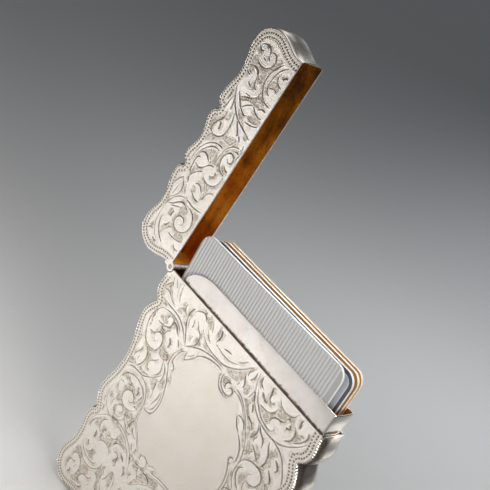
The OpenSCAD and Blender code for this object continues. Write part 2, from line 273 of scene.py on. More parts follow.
LOW_LEFT = [
    (.36, (-27.7, -6.6), (-27.2, -4.9), (-26.3, -3.6), (-25, -2.6), (-23.4, -2), (-21.6, -1.9), (-20, -2.2), (-18.5, -2.9), (-17.3, -4.2),
     (-16.8, -5.8), (-16.7, -7.6)),
    (.40, (-24.9, -2.7), (-24.3, -3.8), (-23.2, -4.3), (-21.9, -4)),
    (.38, (-24.4, -5.4), (-22.9, -4.9), (-21.3, -4.2)),
    (.38, (-21.7, -7.9), (-21.2, -8.6), (-20.2, -8.7), (-19.5, -7.9), (-19.8, -6.7), (-21, -6), (-22.4, -6.2), (-23.5, -7.2), (-23.8, -8.5),
     (-23.4, -9.8), (-22.2, -10.8), (-20.6, -11), (-19, -10.5), (-17.7, -9.5), (-17, -8.6)),
    (.40, (-20.3, -3.6), (-19.6, -4.6), (-19.7, -5.8)),
    (.32, (-17.9, -4.6), (-18, -5.6), (-18.6, -6.4)),
    (.34, (-27, -6.6), (-26.8, -8), (-26.4, -9), (-25.3, -9.2), (-24.5, -8.4)),
    (.30, (-27.8, -6.6), (-26.6, -6.2), (-25, -6)),
    (.40, (-27.4, -13), (-27.2, -11.6), (-26.7, -12.8)),
    (.34, (-25, -9.9), (-25.2, -11.4), (-25.6, -12.8), (-25.4, -14.4)),
    (.34, (-23.7, -12.8), (-22.6, -11.6), (-21.5, -11.6), (-20.9, -12.6), (-21.6, -13.6), (-22.4, -13.2)),
    (.36, (-28.2, -9), (-28.6, -11.4), (-28, -13.8), (-26.6, -15.6), (-24.6, -16.6), (-22.4, -16.4), (-20.4, -15.2), (-18.8, -13.4), (-17.8, -11.4)),
    (.30, (-24.6, -13.6), (-23.4, -14.8), (-21.6, -14.8), (-20, -13.6)),
    (.32, (-19.2, -11.6), (-18.4, -12.8), (-16.8, -13.6), (-15.4, -13.6)),
    (.34, (-18.6, -14.6), (-17.2, -15.4), (-15.2, -15.2), (-13.8, -14.2)),
]
RIGHT = [
    (.40, (12.3, 16.9), (13.8, 16.5), (14.8, 15.7), (15.1, 14.8)),
    (.36, (15.8, 18), (16.5, 17), (16.7, 15.6), (16.3, 14.2), (15.5, 13.4)),
    (.48, (16.2, 18), (17.3, 16.9), (18.6, 16.2), (19.4, 15.4), (19.9, 14.2)),
    (.26, (17.6, 15.2), (17, 14.2), (17.3, 13.3)),
    (.44, (17.4, 12.9), (19, 12), (20.3, 11), (20.4, 10.3), (19.9, 10.1)),
    (.34, (18.7, 11.6), (17.9, 10.9), (18, 10.2)),
    (.48, (20.9, 17), (21.3, 15.9), (22.2, 14.6), (22.8, 13), (22.8, 11.6), (22.4, 10.4)),
    (.40, (20.8, 17.9), (22.7, 17.7), (24.4, 17.2), (26, 16.3), (27.5, 14.7), (28.8, 13), (29.5, 11.4), (29.8, 10)),
    (.48, (24.8, 15), (26, 14.2), (26.6, 13.3), (26.1, 12.6)),
    (.48, (24.6, 11.9), (25.8, 10.7), (26.7, 9.5), (26.2, 8.9)),
    (.30, (24, 15.6), (23.4, 14.6)),
    (.42, (27.4, 20), (27.4, 19), (27.8, 18)),
    (.38, (28.2, 17.7), (28.6, 16.6), (28.5, 15.7)),
    (.42, (16.9, 4.6), (17.2, 6.8), (18, 8.4), (19.4, 9.4), (21.2, 9.8), (22.9, 9.7), (24.2, 8.8), (24.7, 7.5), (24.3, 6), (23.3, 5.1),
     (22.1, 4.8), (21.2, 5.2), (20.8, 6.1), (21.1, 6.9), (21.9, 7.3)),
    (.50, (18.9, 6.6), (18.1, 6.1), (17.8, 5), (18.1, 3.8), (18.9, 2.6), (20, 1.6), (21.2, .9)),
    (.36, (17.1, 4.9), (17.2, 3.4), (17.9, 2), (18.9, .8), (20, -.2)),
    (.34, (21.1, 5), (21.2, 3.4), (21.8, 2)),
    (.30, (17.4, -1.3), (18.5, -.7), (19.8, .1)),
    (.34, (25.2, 8.8), (26.4, 7.6), (27, 6), (26.6, 4.4), (25.4, 3.2), (24, 2.6), (22.6, 2.8)),
    (.34, (27.2, 8.2), (28.2, 6.6), (28.3, 4.6), (27.6, 2.6), (26.2, 1.2), (24.4, .4), (22.4, .2)),
    (.34, (24.2, 3.9), (25, 4.8), (24.9, 5.8)),
]
LID = [
    (.46, (-19.7, 40.3), (-18.9, 39.1), (-17.6, 37.8), (-16.6, 36.5), (-16.5, 35.2), (-17, 33.7)),
    (.26, (-19.8, 39.4), (-19.1, 38.3), (-18.4, 37), (-17.8, 35.6)),
    (.46, (-28.9, 35.3), (-28.3, 36.6), (-27.5, 37.8), (-26.4, 38.9), (-25.1, 39.6), (-23.9, 39.8), (-23, 39.5)),
    (.30, (-29.8, 36.8), (-28.9, 38.6), (-27.4, 40), (-25.4, 40.9), (-22.6, 41.1), (-20, 40.9), (-17.9, 40), (-16.3, 38.6), (-15.3, 36.9), (-15, 34.9)),
    (.36, (-25.2, 38), (-24.4, 37.1), (-22.9, 36.4)),
    (.40, (-21.8, 37.1), (-20.8, 37.4), (-20.1, 36.9)),
    (.36, (-25.4, 36.4), (-24.2, 35.8), (-23.6, 34.8)),
    (.38, (-21.4, 33.6), (-21.4, 32.9), (-20.6, 32.3), (-19.7, 32.5), (-19.3, 33.5), (-19.7, 34.7), (-20.8, 35.4), (-22.1, 35.2), (-23, 34.3),
     (-23.2, 33), (-22.8, 31.8), (-21.9, 30.6), (-20.4, 29.8), (-18.7, 29.8), (-17.2, 30.6), (-16.4, 31.9), (-16.1, 33.6), (-16.4, 35)),
    (.36, (-25.4, 34.8), (-25.4, 33.2), (-25, 31.4), (-24.6, 29.9)),
    (.26, (-25.2, 32.8), (-23.7, 32.7)),
    (.30, (-26.3, 31.6), (-27, 30.6), (-26.9, 28.9)),
    (.30, (-29.2, 42.3), (-28.5, 41.2), (-28.3, 40)),
    (.38, (-30, 38.8), (-30.2, 37.8), (-29.9, 36.9)),
    (.34, (-18.2, 41.1), (-16.6, 40.8), (-14.9, 40.6), (-13.6, 40.5)),
    (.36, (-18.2, 41), (-16.8, 39.8), (-15.4, 39.1), (-13.8, 39), (-12.6, 39.6), (-11.4, 40.7)),
    (.44, (-15.2, 42.3), (-13.4, 42), (-12.2, 41.3), (-11.3, 40.4)),
    (.36, (-14.6, 36.4), (-15, 34.5), (-15.1, 32.5), (-14.8, 30.6), (-14.3, 29)),
    (.36, (-12.4, 35.6), (-13.1, 34.2), (-13.2, 32.8), (-12.8, 31.6)),
    (.26, (-14.4, 36.9), (-13.4, 38), (-12.2, 38.4)),
    (.38, (-11.6, 38.3), (-10.2, 39.1), (-9, 38.8), (-7.9, 38), (-7, 37.1), (-6.4, 36)),
    (.46, (-9.2, 39.4), (-8.6, 40), (-7, 40.3), (-5.4, 40.4), (-4.5, 40.1), (-4.1, 39.2)),
    (.40, (-6.2, 39.6), (-6.4, 38.2), (-5.7, 37), (-4.5, 36), (-3.6, 35), (-3.2, 33.6)),
    (.44, (-4, 40.6), (-2.9, 39.9), (-2.3, 38.8), (-2.5, 37.6), (-3.3, 36.2)),
    (.34, (-8, 41.5), (-6, 41.7), (-4, 41.6), (-2.2, 41.1), (-.6, 40.2), (.7, 38.9), (1.6, 37.3), (1.9, 35.6), (1.8, 34.2)),
    (.40, (-4.8, 41.1), (-3, 40.5), (-1, 39.2), (.2, 37.9), (.8, 36.5), (.8, 35.1)),
    (.32, (-6.2, 35.4), (-7.3, 34.8), (-7.8, 33.6), (-7.7, 32.2), (-7.1, 30.8), (-5.8, 29.8), (-4, 29.5), (-2.6, 29.9)),
    (.32, (-5.9, 33.8), (-5.5, 32.6), (-4.6, 32.1), (-3.9, 32.6)),
    (.30, (-10.4, 36.2), (-9.6, 35.2), (-9.8, 33.8), (-10.8, 32.6)),
    (.30, (-11.8, 31.4), (-10.2, 31.2), (-8.9, 30.2), (-8.4, 29)),
    (.36, (-3.3, 33.7), (-1.6, 34.1), (.4, 34.1), (2.4, 33.6), (4, 32.4), (4.9, 30.8), (5.1, 29.2)),
    (.42, (-2.9, 29.1), (-3, 30.6), (-2.4, 32), (-1.2, 32.9), (.3, 33.1), (1.8, 32.6), (2.7, 31.5), (2.6, 30.3), (1.7, 29.6), (.7, 29.9), (.4, 30.8), (.9, 31.4)),
    (.30, (-1.6, 29.2), (-1.5, 30.4), (-.8, 31.3)),
    (.32, (3.9, 29), (3.9, 30.2), (3.5, 31.2)),
    (.44, (3.2, 41.2), (2.7, 40.1), (2.9, 38.8), (3.8, 37.4), (5.2, 36.6), (7, 36.4), (9, 36.7), (10.6, 37.4)),
    (.44, (4.6, 39.3), (5.6, 39.3), (6.5, 39.8)),
    (.34, (3.2, 41.3), (4.2, 41.6), (5.6, 41.2), (6.8, 40.3), (8.2, 39.7)),
    (.40, (8.6, 40.8), (10, 41.1), (11.8, 41.1), (13.8, 40.7)),
    (.46, (10.6, 39.2), (11.8, 39.4), (13.4, 39.9)),
    (.46, (6.8, 33), (7.6, 33.3), (8.8, 34.4), (9.8, 35.4)),
    (.34, (6.2, 31.2), (7.4, 32.3)),
    (.36, (2.2, 29.2), (4.4, 28.9), (6.4, 29.3)),
    (.40, (16.6, 41.7), (14.6, 40.7), (12.9, 39.3), (11.5, 37.7), (10.3, 35.7), (9.6, 33.4), (9, 31.2), (8.4, 29)),
    (.46, (15.6, 39.8), (14.4, 38.5), (13.2, 37.2), (12.3, 35.7), (12, 34.6), (12.5, 33.8)),
    (.40, (13.2, 36.6), (14.5, 35.4), (15.5, 33.8)),
    (.44, (15.4, 33.4), (14.6, 32.2), (14.2, 30.4), (14.4, 29.4)),
    (.40, (15, 38.4), (15.9, 36.8), (16.5, 35)),
    (.44, (16.5, 37.8), (16.5, 36.2), (17, 34.7), (18, 34), (19.3, 33.9)),
    (.36, (19, 39), (18.3, 37.6)),
    (.46, (18.8, 35.6), (19.1, 36.6), (20.2, 37.2), (21.6, 37.5), (22.6, 38.5), (22.9, 39.9), (22.5, 41.3)),
    (.42, (20.5, 39.8), (20.7, 40.9), (21.6, 41.7), (23.4, 42.2), (25.6, 42.6)),
    (.40, (25.4, 41.2), (24.3, 39.8), (24, 38.2), (24.4, 36.6), (25.5, 35.4), (27, 35), (28.2, 35.7), (28.5, 37), (28, 37.8)),
    (.40, (26.3, 36.8), (27, 37.6), (28.3, 38), (29, 39.2), (28.8, 40.7), (28, 41.9)),
    (.44, (27.3, 40), (27, 41), (27.8, 42)),
    (.30, (26, 39), (25.7, 37.8)),
    (.42, (17.8, 29), (17.9, 31), (18.5, 32.4), (19.7, 33.6), (21.4, 34.5), (23.2, 34.7), (25, 34.4), (26.8, 33.4), (28.2, 32.2)),
    (.44, (19.9, 31.4), (20.4, 32.4), (21.8, 33), (23.6, 33.1), (25.3, 32.8), (27, 31.8), (28.2, 30.4)),
    (.36, (23.2, 29.2), (23.6, 30.9), (24.8, 31.7), (26.2, 31.6)),
    (.44, (25.1, 30), (25.8, 29.9), (26, 29)),
    (.34, (15.4, 32), (16.3, 30.8), (16.4, 29.2)),
    (.38, (11, 33.2), (11.4, 31), (12.3, 29)),
    (.34, (11.6, 42.3), (12.8, 41.9), (14.4, 42), (15.3, 42.5)),
]
# Grounds: small patches between the leaves, sunk and hatched
G_FRAME = [
    [(-14.6, 4.4), (-13.8, 4.6), (-13.2, 2.6), (-13.6, 1.4), (-15, 1.6), (-15.2, 3)],
    [(-17.8, -1.4), (-16.6, -1.2), (-15.7, -3.6), (-16.6, -2.8)],
    [(13, 16), (14.3, 15.8), (15.3, 14.3), (15.6, 12.2), (14.6, 13.2), (13.6, 14.8)],
    [(16, 12.9), (17.3, 12.2), (17.6, 10.6), (17, 8.9), (16.3, 10.6)],
    [(-4, -18.4), (-1, -17.4), (1, -17.2), (.6, -19.2), (-1.4, -18.6)],
    [(8.8, 19.4), (9.9, 19.8), (11.2, 18.6), (13.8, 16.2), (12.8, 16.1), (11, 17.6), (9.6, 18.8)],
    [(13.2, 13.2), (14.8, 12.2), (16, 9.8), (15, 10.6), (13.6, 12.2)],
    [(.7, 19.4), (2.8, 19.9), (2.4, 18.6), (2.3, 17.2), (1.2, 17.4), (.7, 18.4)],
    [(-18.4, 1.7), (-16.2, 3), (-15.7, 1), (-16, -.4), (-17.6, .4)],
    [(16.5, 3.4), (17.2, 3.2), (18.2, .6), (19.2, -.4), (17.6, -.2), (17, 1)],
    [(17.2, -2), (17.4, -.8), (19.4, .1), (18.8, -1.6)],
]
G_TOP = [
    [(-19.6, 22.9), (-18.3, 22), (-17.7, 21), (-17, 20), (-18.5, 20.4), (-19.6, 21.4)],
    [(.3, 21.1), (2, 22.2), (4.3, 23.8), (5.3, 24.7), (5.9, 24.2), (6.1, 23), (5.4, 21.9), (5, 21), (3, 20.4), (1, 20.5)],
    [(7.6, 22.5), (8.9, 22.8), (9.1, 21), (8.3, 20), (7.4, 20.4)],
    [(18.5, 25), (20.9, 24.7), (20.8, 23.6), (18.9, 23.1), (18.4, 23.9)],
    [(13.2, 21.2), (16.5, 21.4), (17.6, 20.5), (17.7, 19.4), (16, 19.8), (14.3, 20.6)],
    [(16.9, 22.4), (17.9, 23.2), (18.4, 22.4), (17.7, 21.5)],
    [(26.3, 24.3), (27.6, 24.6), (27.2, 23.2), (25.9, 21.9), (25.6, 22.8)],
    [(-9.6, 20.6), (-6, 20.6), (-2, 20.7), (-5, 20.4), (-8, 20)],
    [(-12, 27.6), (-11.2, 27.6), (-9.8, 25.4), (-10.4, 24.8), (-11.9, 25.6)],
    [(-7.6, 27.6), (-6.9, 27.4), (-6.5, 25.6), (-6.9, 24.2), (-7.6, 25)],
    [(21.6, 25.1), (23, 25.6), (24, 24.8), (24.6, 23.4), (23.8, 24.2), (22.3, 24.4)],
    [(-21.6, 22.6), (-20.4, 23.2), (-20, 22.2), (-20.8, 21.2), (-22.2, 21.3)],
    [(-29.6, 22.4), (-28.6, 22.4), (-28.2, 21.4), (-29.4, 21)],
    [(-30, 22.4), (-28.8, 24.6), (-27.8, 25.9), (-27.4, 24.6), (-28.4, 23.2)],
    [(-18.1, 25), (-17.3, 25.2), (-17.3, 23.4), (-18, 22.8)],
    [(-12.6, 20.2), (-11.7, 20.6), (-10.2, 19.6), (-12.4, 18.4)],
    [(-6.8, 26.9), (-6.1, 27), (-5.8, 25.2), (-6.3, 24.2)],
    [(6, 26.3), (7.6, 27.5), (7.4, 26.8), (6.4, 25.6)],
    [(10.4, 22.8), (11.5, 21.6), (11.2, 20.4), (10.4, 21)],
    [(13.8, 27.4), (15.6, 27.2), (15, 25.4), (14.4, 25)],
    [(12.2, 24.4), (14.8, 23.5), (14.4, 22.9), (12.6, 23.6)],
    [(24.8, 27.3), (25.4, 27.3), (25.6, 25.5), (25, 25.1)],
]
G_LEFT = [
    [(-20.5, 11.5), (-18.6, 10.9), (-17, 10.5), (-16.9, 8.7), (-19, 8), (-20.8, 9)],
    [(-20.9, 18.1), (-20.6, 16.3), (-19.5, 17.3)],
    [(-28.1, 16), (-27.5, 14.3), (-27.2, 11.6), (-28, 12.5)],
    [(-28.6, 8.2), (-27.8, 7.6), (-27.9, 5.8), (-28.5, 5)],
    [(-23.6, 6.4), (-22.4, 6.4), (-21.7, 5.2), (-22, 3.6), (-22.6, 2.8), (-22.9, 4.4)],
    [(-24.8, 17.6), (-23.6, 17.4), (-22.4, 16.4), (-24.2, 15.8), (-26, 16.4)],
    [(-24.6, 1.2), (-23.4, 1.4), (-21.4, 1.2), (-19.4, 1.6), (-21.2, .5), (-23.4, .2)],
    [(-28.2, 20.3), (-25.8, 20.3), (-25.8, 19.5), (-28, 19.5)],
    [(-23.5, 14.6), (-22, 14.7), (-21.9, 13.3), (-23.6, 13.2)],
    [(-21.3, 18.5), (-19.6, 18.2), (-18.4, 17.3), (-19.8, 17.2), (-20.9, 15.8), (-21.5, 16.8)],
    [(-28.8, 18), (-28, 17.6), (-27.6, 14.6), (-28.3, 14)],
    [(-28.8, 8), (-28, 7.6), (-27.9, 5.2), (-28.4, 3.8), (-28.8, 5)],
    [(-28.2, .4), (-26.8, 1.8), (-25, .6), (-26.8, -.4), (-28, -1)],
]
G_LOW = [
    [(-27, -3.6), (-25.6, -2.9), (-24.8, -3.8), (-24.9, -4.8), (-26.4, -4.9), (-27.2, -5.4)],
    [(-24.4, -5.8), (-22.8, -5.2), (-23.3, -6.2), (-24.2, -7)],
    [(-19.4, -6.4), (-18.2, -6.8), (-17.3, -8.2), (-18.4, -8.8), (-19.2, -8.2)],
    [(-25.2, -9.9), (-24.2, -9.2), (-23.5, -10.8), (-24.4, -12), (-25, -11.4)],
    [(-21, -11.5), (-19, -11.2), (-17.4, -10.2), (-17.2, -12), (-19, -12.7), (-20.6, -12.4)],
    [(-23.2, -16), (-21, -15.4), (-19.4, -16.4), (-20.6, -17.4), (-22.6, -17.2)],
    [(-24.6, -6.4), (-23.4, -5), (-21.2, -4.4), (-21, -5.6), (-23, -6), (-24, -7.2)],
    [(-20.5, -3.4), (-19.4, -3.3), (-19.4, -4.6), (-20.3, -4.8)],
    [(-17.9, -4.2), (-17, -5.4), (-16.8, -8), (-17.6, -8.8), (-19.2, -8.2), (-19.2, -7), (-17.9, -6.2)],
]
G_RIGHT = [
    [(23.2, 14.2), (24.4, 13.4), (24.6, 12.2), (23.4, 11.2), (23, 12.6)],
    [(23, 17), (24.6, 16.2), (24.2, 14.9), (23.3, 15.4)],
    [(28, 20.4), (28.8, 20), (28.6, 18.6), (28, 18.6)],
    [(19.2, 5.5), (20.6, 5.4), (20.8, 3.4), (20.2, 2.4), (19.2, 3.6)],
    [(18.2, 13.6), (19.6, 13.4), (20.8, 12.4), (20.6, 11.4), (19.2, 12.3)],
    [(25.6, 8.2), (26.8, 8.6), (27.4, 7.2), (27, 6.8)],
    [(15.6, 14.6), (16.4, 16.2), (17.3, 15), (16.8, 13.6), (15.9, 13.4)],
    [(16.4, 12), (17.8, 11.6), (18.4, 10.2), (17, 9.4), (16.6, 10.6)],
    [(22.2, 15.4), (23.2, 15.8), (24.2, 14.8), (23.4, 13.6), (22.9, 12.6)],
    [(22.6, 11.8), (23.6, 11.6), (23.6, 10), (22.4, 10)],
    [(24.8, 5), (25.6, 6.4), (25.6, 8), (26.6, 7), (25.8, 5.2)],
]
G_LID = [
    [(4.2, 42.9), (6.3, 43), (8.1, 40.8), (10.3, 40), (8.1, 39.2), (5.8, 40.7), (3.3, 40.7), (2.9, 41.7)],
    [(4.8, 36.1), (6.1, 33.5), (5.9, 31.3), (4.5, 32), (3.7, 34.4), (3.8, 36)],
    [(12.3, 37.1), (11.8, 35.5), (10.7, 33.7), (9.4, 32.2), (9.8, 33.6), (10.7, 35.5)],
    [(12.9, 33.4), (13.6, 31.2), (13.7, 29), (12.4, 29.1), (12, 31.3), (12, 32.9)],
    [(26.1, 35.6), (27.6, 34.7), (27.8, 33), (26.3, 33.2), (25.2, 34.2), (25.3, 35.3)],
    [(22.4, 41.4), (24.1, 41.4), (24.7, 40.7), (23.3, 40), (21.5, 39.8), (20.9, 40.3)],
    [(-19.9, 42.5), (-18.7, 42.1), (-18.1, 40.7), (-19.6, 40.5), (-21, 41.6), (-20.9, 42.3)],
    [(-27.5, 37.3), (-26.2, 38.1), (-25, 37.8), (-24.2, 37), (-25.2, 36.7), (-26.4, 36.9)],
    [(-24.9, 32.5), (-23.4, 32.5), (-22.8, 31.2), (-23.2, 29.7), (-24.4, 29.4), (-24.8, 31)],
    [(-12.6, 32.2), (-10.9, 32.2), (-10, 31.5), (-11.4, 31)],
    [(-8.9, 39.4), (-7.8, 39.8), (-6.8, 39), (-6.7, 37.7), (-7.4, 38.1), (-8.2, 38.8)],
    [(-1.9, 38.6), (-.6, 38), (.2, 36.6), (.3, 35.2), (-1.6, 34.6), (-2.9, 35.2), (-2.4, 36.6)],
    [(1.9, 36.8), (3, 36.6), (3.3, 34.6), (2.6, 33.9), (2, 34.4)],
    [(1.3, 41.3), (2.4, 41.2), (2.3, 39.8), (1.6, 38.9), (.7, 39.8)],
    [(14.9, 38.4), (15.8, 37.6), (16.3, 35.6), (15.8, 35.2), (15, 36.6), (14.4, 37.6)],
    [(23.2, 41.6), (25, 41.9), (25.5, 41.2), (24.3, 40.6), (23.2, 40.6)],
    [(20.6, 36.6), (22.4, 37), (23.6, 37.4), (23.9, 36.2), (23, 35.3), (21.2, 35.2), (20.6, 35.8)],
    [(21.4, 32.4), (23.4, 32.6), (23.4, 31), (22.8, 29.6), (21.6, 29.8), (21.9, 31)],
    [(15.6, 35), (16.4, 34.6), (17, 33.4), (16.4, 32.6), (15.7, 33.4)],
    [(-19.3, 35.4), (-18, 36), (-16.9, 35.2), (-16.5, 33.6), (-17.4, 33), (-18.4, 33.2), (-19, 34.2)],
    [(-24.2, 36.6), (-23.2, 36.4), (-22.8, 35.7), (-23.5, 35.1), (-24.2, 35.8)],
    [(-17.4, 30.4), (-16.4, 31.3), (-15.5, 31), (-15.6, 29.2), (-17, 29)],
    [(-10.8, 32.3), (-8.4, 33.1), (-8.2, 31.6), (-10, 31.3)],
    [(-12.6, 36.2), (-10.8, 36.3), (-10.9, 35), (-12, 34.6)],
    [(-3.4, 36), (-1.2, 35.4), (-1.1, 34.4), (-2.6, 34.2)],
    [(-3.2, 32.9), (-1.6, 33.7), (.6, 33.8), (2.4, 33.2), (3.8, 31.9), (4.5, 30.2), (4.4, 29.2), (4.1, 29.2), (3.9, 31), (2.6, 32.6), (.6, 33.4), (-1.4, 33.1), (-2.8, 32)],
    [(-2.6, 29.3), (-1.9, 29.2), (-1.7, 30.6), (-.9, 31.5), (-1.5, 31.9), (-2.4, 30.9)],
    [(-.4, 41.7), (1.6, 42.2), (2.5, 41.2), (2.4, 39), (1.6, 38.7), (.8, 40)],
    [(3.4, 42.3), (5.4, 42.3), (6.9, 41.6), (6.9, 40.7), (5.6, 41.5), (4.2, 41.9)],
    [(7.8, 30.9), (8.8, 31.1), (8.7, 29.9), (7.6, 29.7)],
    [(25.8, 34.9), (28.3, 35), (28.7, 33.9), (28.1, 32.8), (26.6, 34)],
    [(23.1, 39.7), (24.1, 39.9), (24, 37.9), (23.3, 37.5)],
    [(28.4, 39.7), (29.3, 40.2), (29.4, 38.5), (28.9, 38.3)],
    [(16.3, 34.1), (17.9, 33.7), (18.3, 32.8), (17.6, 31.3), (16.7, 30.7), (15.8, 32.3)],
    [(12.4, 42.3), (14.6, 42.2), (15.6, 41.7), (13.8, 41.4)],
    [(-22, 38.4), (-20.6, 38.8), (-19.6, 37.9), (-20.4, 37.6), (-21.6, 37.7)],
    [(-29, 41.6), (-28.4, 41.8), (-26.6, 41.4), (-27.8, 40.8)],
    [(8, 38.9), (10, 38.6), (11.4, 38.8), (10.6, 38), (8.4, 37.8)],
]


CARTOUCHE = [(-12.2, 13.2), (-10.3, 15), (-9, 17), (-7.6, 18.1), (-5.2, 19.1), (-2.6, 19.6), (-.6, 19.6), (-.6, 18.3), (-.1, 17.1), (.9, 15.9),
             (2.2, 15.4), (3.6, 15.3), (4.8, 15.6), (5.6, 17), (5.3, 18.4), (6.8, 18.5), (8.4, 17.9), (9.1, 16.4), (9.3, 15.1), (10.1, 13.9),
             (11.3, 12.5), (12.7, 11.7), (14.2, 10.1), (15.2, 8.6), (15.5, 7), (15, 6.1), (14.1, 5.7), (14.2, 4.5), (14.7, 3.6), (15.3, 2.6),
             (15.9, 1.1), (16.2, -.6), (16.2, -4.4), (15.5, -6.4), (14.7, -8.6), (13.4, -10.6), (11.6, -12.6), (9.4, -14), (7.3, -15),
             (5, -15.4), (2.6, -15.5), (0, -15.9), (-2, -14.9), (-3.3, -15.2), (-4.4, -15.9), (-5.8, -15.6), (-7, -15.3), (-8.3, -15.8),
             (-9.2, -15.9), (-10.2, -15), (-11.6, -13.6), (-13, -12.2), (-14.4, -11), (-15.1, -9.7), (-15.4, -7.8), (-15.4, -6.2),
             (-14.2, -6.3), (-12.7, -5.8), (-11.7, -4.1), (-11.4, -2), (-11.6, 0), (-12.1, 2), (-12.9, 4), (-12, 5.1), (-12.6, 6.6),
             (-13.6, 7.6), (-13.3, 8.9), (-13.9, 9.7), (-14.6, 10.1), (-14.9, 11), (-14.6, 12.5), (-14, 13.9), (-12.9, 15)]


def turned(items, grounds=False, low=None):
    """Turns a group half round and moves it below the cartouche, for the foot of the case."""
    out = []
    for it in items:
        w, pts = (None, it) if grounds else (it[0], it[1:])
        if low is not None and min(p[1] for p in pts) < low:
            continue
        q = [(-x, -17.6 - (z - 19.6) * 1.06) for x, z in pts]
        out.append(q if grounds else (w, *q))
    return out


def across(items, grounds=False, low=.5):
    """Turns a group of the left side half round, for the lower right side."""
    out = []
    for it in items:
        w, pts = (None, it) if grounds else (it[0], it[1:])
        if min(p[1] for p in pts) < low:
            continue
        q = [(-x, -z + 1.2) for x, z in pts]
        out.append(q if grounds else (w, *q))
    return out


BODY_CUTS = FRAME + TOP + LEFT + LOW_LEFT + RIGHT + turned(TOP) + turned(LID) + turned(RIGHT, low=13.3) + across(LEFT)
BODY_GROUNDS = (G_FRAME + G_TOP + G_LEFT + G_LOW + G_RIGHT + turned(G_TOP, True) + turned(G_LID, True)
                + turned(G_RIGHT, True, 13.3) + across(G_LEFT, True))


# ---------------------------------------------------------------- height fields
class Field:
    """A regular grid of points over part of the closed case, in mm, with fields painted on it."""

    def __init__(self, x0, x1, z0, z1, z_anchor):
        lo = int(math.floor((z0 - z_anchor) / CELL))
        hi = int(math.ceil((z1 - z_anchor) / CELL))
        self.xs = (x0 + CELL * np.arange(int(math.ceil((x1 - x0) / CELL)) + 1)).astype(np.float64)
        self.zs = z_anchor + CELL * np.arange(lo, hi + 1)
        self.shape = (len(self.zs), len(self.xs))
        self.X, self.Z = np.meshgrid(self.xs, self.zs)

    def part(self, lo, hi, reach):
        x0, z0 = self.xs[0], self.zs[0]
        i0 = max(0, int((lo[0] - reach - x0) / CELL)); i1 = min(self.shape[1], int((hi[0] + reach - x0) / CELL) + 2)
        j0 = max(0, int((lo[1] - reach - z0) / CELL)); j1 = min(self.shape[0], int((hi[1] + reach - z0) / CELL) + 2)
        if i0 >= i1 or j0 >= j1:
            return None
        return slice(j0, j1), slice(i0, i1)

    def near(self, pts, reach, step=12, bend=None):
        """Yields for stretches of a polyline: the window, the distance to it, how far along the whole line the nearest point is, and, with a bend per segment, the bend counted positive on the outer side of the curve."""
        seg = np.hypot(*np.diff(pts, axis=0).T)
        s = np.r_[0, np.cumsum(seg)]
        total = max(s[-1], 1e-9)
        for k in range(0, len(pts) - 1, step):
            q = pts[k:k + step + 1]
            win = self.part(q.min(0), q.max(0), reach)
            if win is None:
                continue
            X, Z = self.X[win], self.Z[win]
            best = np.full(X.shape, 1e9); along = np.zeros(X.shape); side = np.zeros(X.shape)
            for m in range(len(q) - 1):
                a, b = q[m], q[m + 1]
                d = b - a
                L = d @ d
                if L < 1e-12:
                    continue
                u = np.clip(((X - a[0]) * d[0] + (Z - a[1]) * d[1]) / L, 0, 1)
                r = np.hypot(X - a[0] - u * d[0], Z - a[1] - u * d[1])
                nearer = r < best
                best = np.where(nearer, r, best)
                along = np.where(nearer, (s[k + m] + u * seg[k + m]) / total, along)
                if bend is not None:
                    left = np.sign(d[0] * (Z - a[1]) - d[1] * (X - a[0]))
                    side = np.where(nearer, -left * bend[k + m], side)
            yield (win, best, along) if bend is None else (win, best, along, side)

    def inside(self, poly):
        """True for grid points inside a closed polygon."""
        out = np.zeros(self.shape, bool)
        a, b = poly, np.roll(poly, -1, axis=0)
        z_lo, z_hi = poly[:, 1].min(), poly[:, 1].max()
        for j, z in enumerate(self.zs):
            if z < z_lo or z > z_hi:
                continue
            hit = (a[:, 1] <= z) != (b[:, 1] <= z)
            if not hit.any():
                continue
            x = a[hit, 0] + (z - a[hit, 1]) / (b[hit, 1] - a[hit, 1]) * (b[hit, 0] - a[hit, 0])
            out[j] = np.searchsorted(np.sort(x), self.xs) % 2 == 1
        return out


def smoothstep(a, b, x):
    t = np.clip((x - a) / (b - a), 0, 1)
    return t * t * (3 - 2 * t)


def row_shift(x, z):
    """How far the punched rows move in from the rim towards the case's sides, as a share of 0.8 mm."""
    side = smoothstep(24, 31, np.abs(x))
    up = smoothstep(24, 34, z)
    return side * ((.25 + .55 * (x > 0)) * (1 - up) + (.65 + .25 * (x > 0)) * up)


def ease(k):
    return k * k * (3 - 2 * k)


def noise2(x, z, scale, seed):
    """Smooth value noise from a hashed lattice; the same each run."""
    u, v = x / scale, z / scale
    i, j = np.floor(u), np.floor(v)
    fu, fv = ease(u - i), ease(v - j)

    def h(a, b):
        n = np.sin(a * 127.1 + b * 311.7 + seed * 74.7) * 43758.5453
        return n - np.floor(n)
    return (h(i, j) * (1 - fu) + h(i + 1, j) * fu) * (1 - fv) + (h(i, j + 1) * (1 - fu) + h(i + 1, j + 1) * fu) * fv


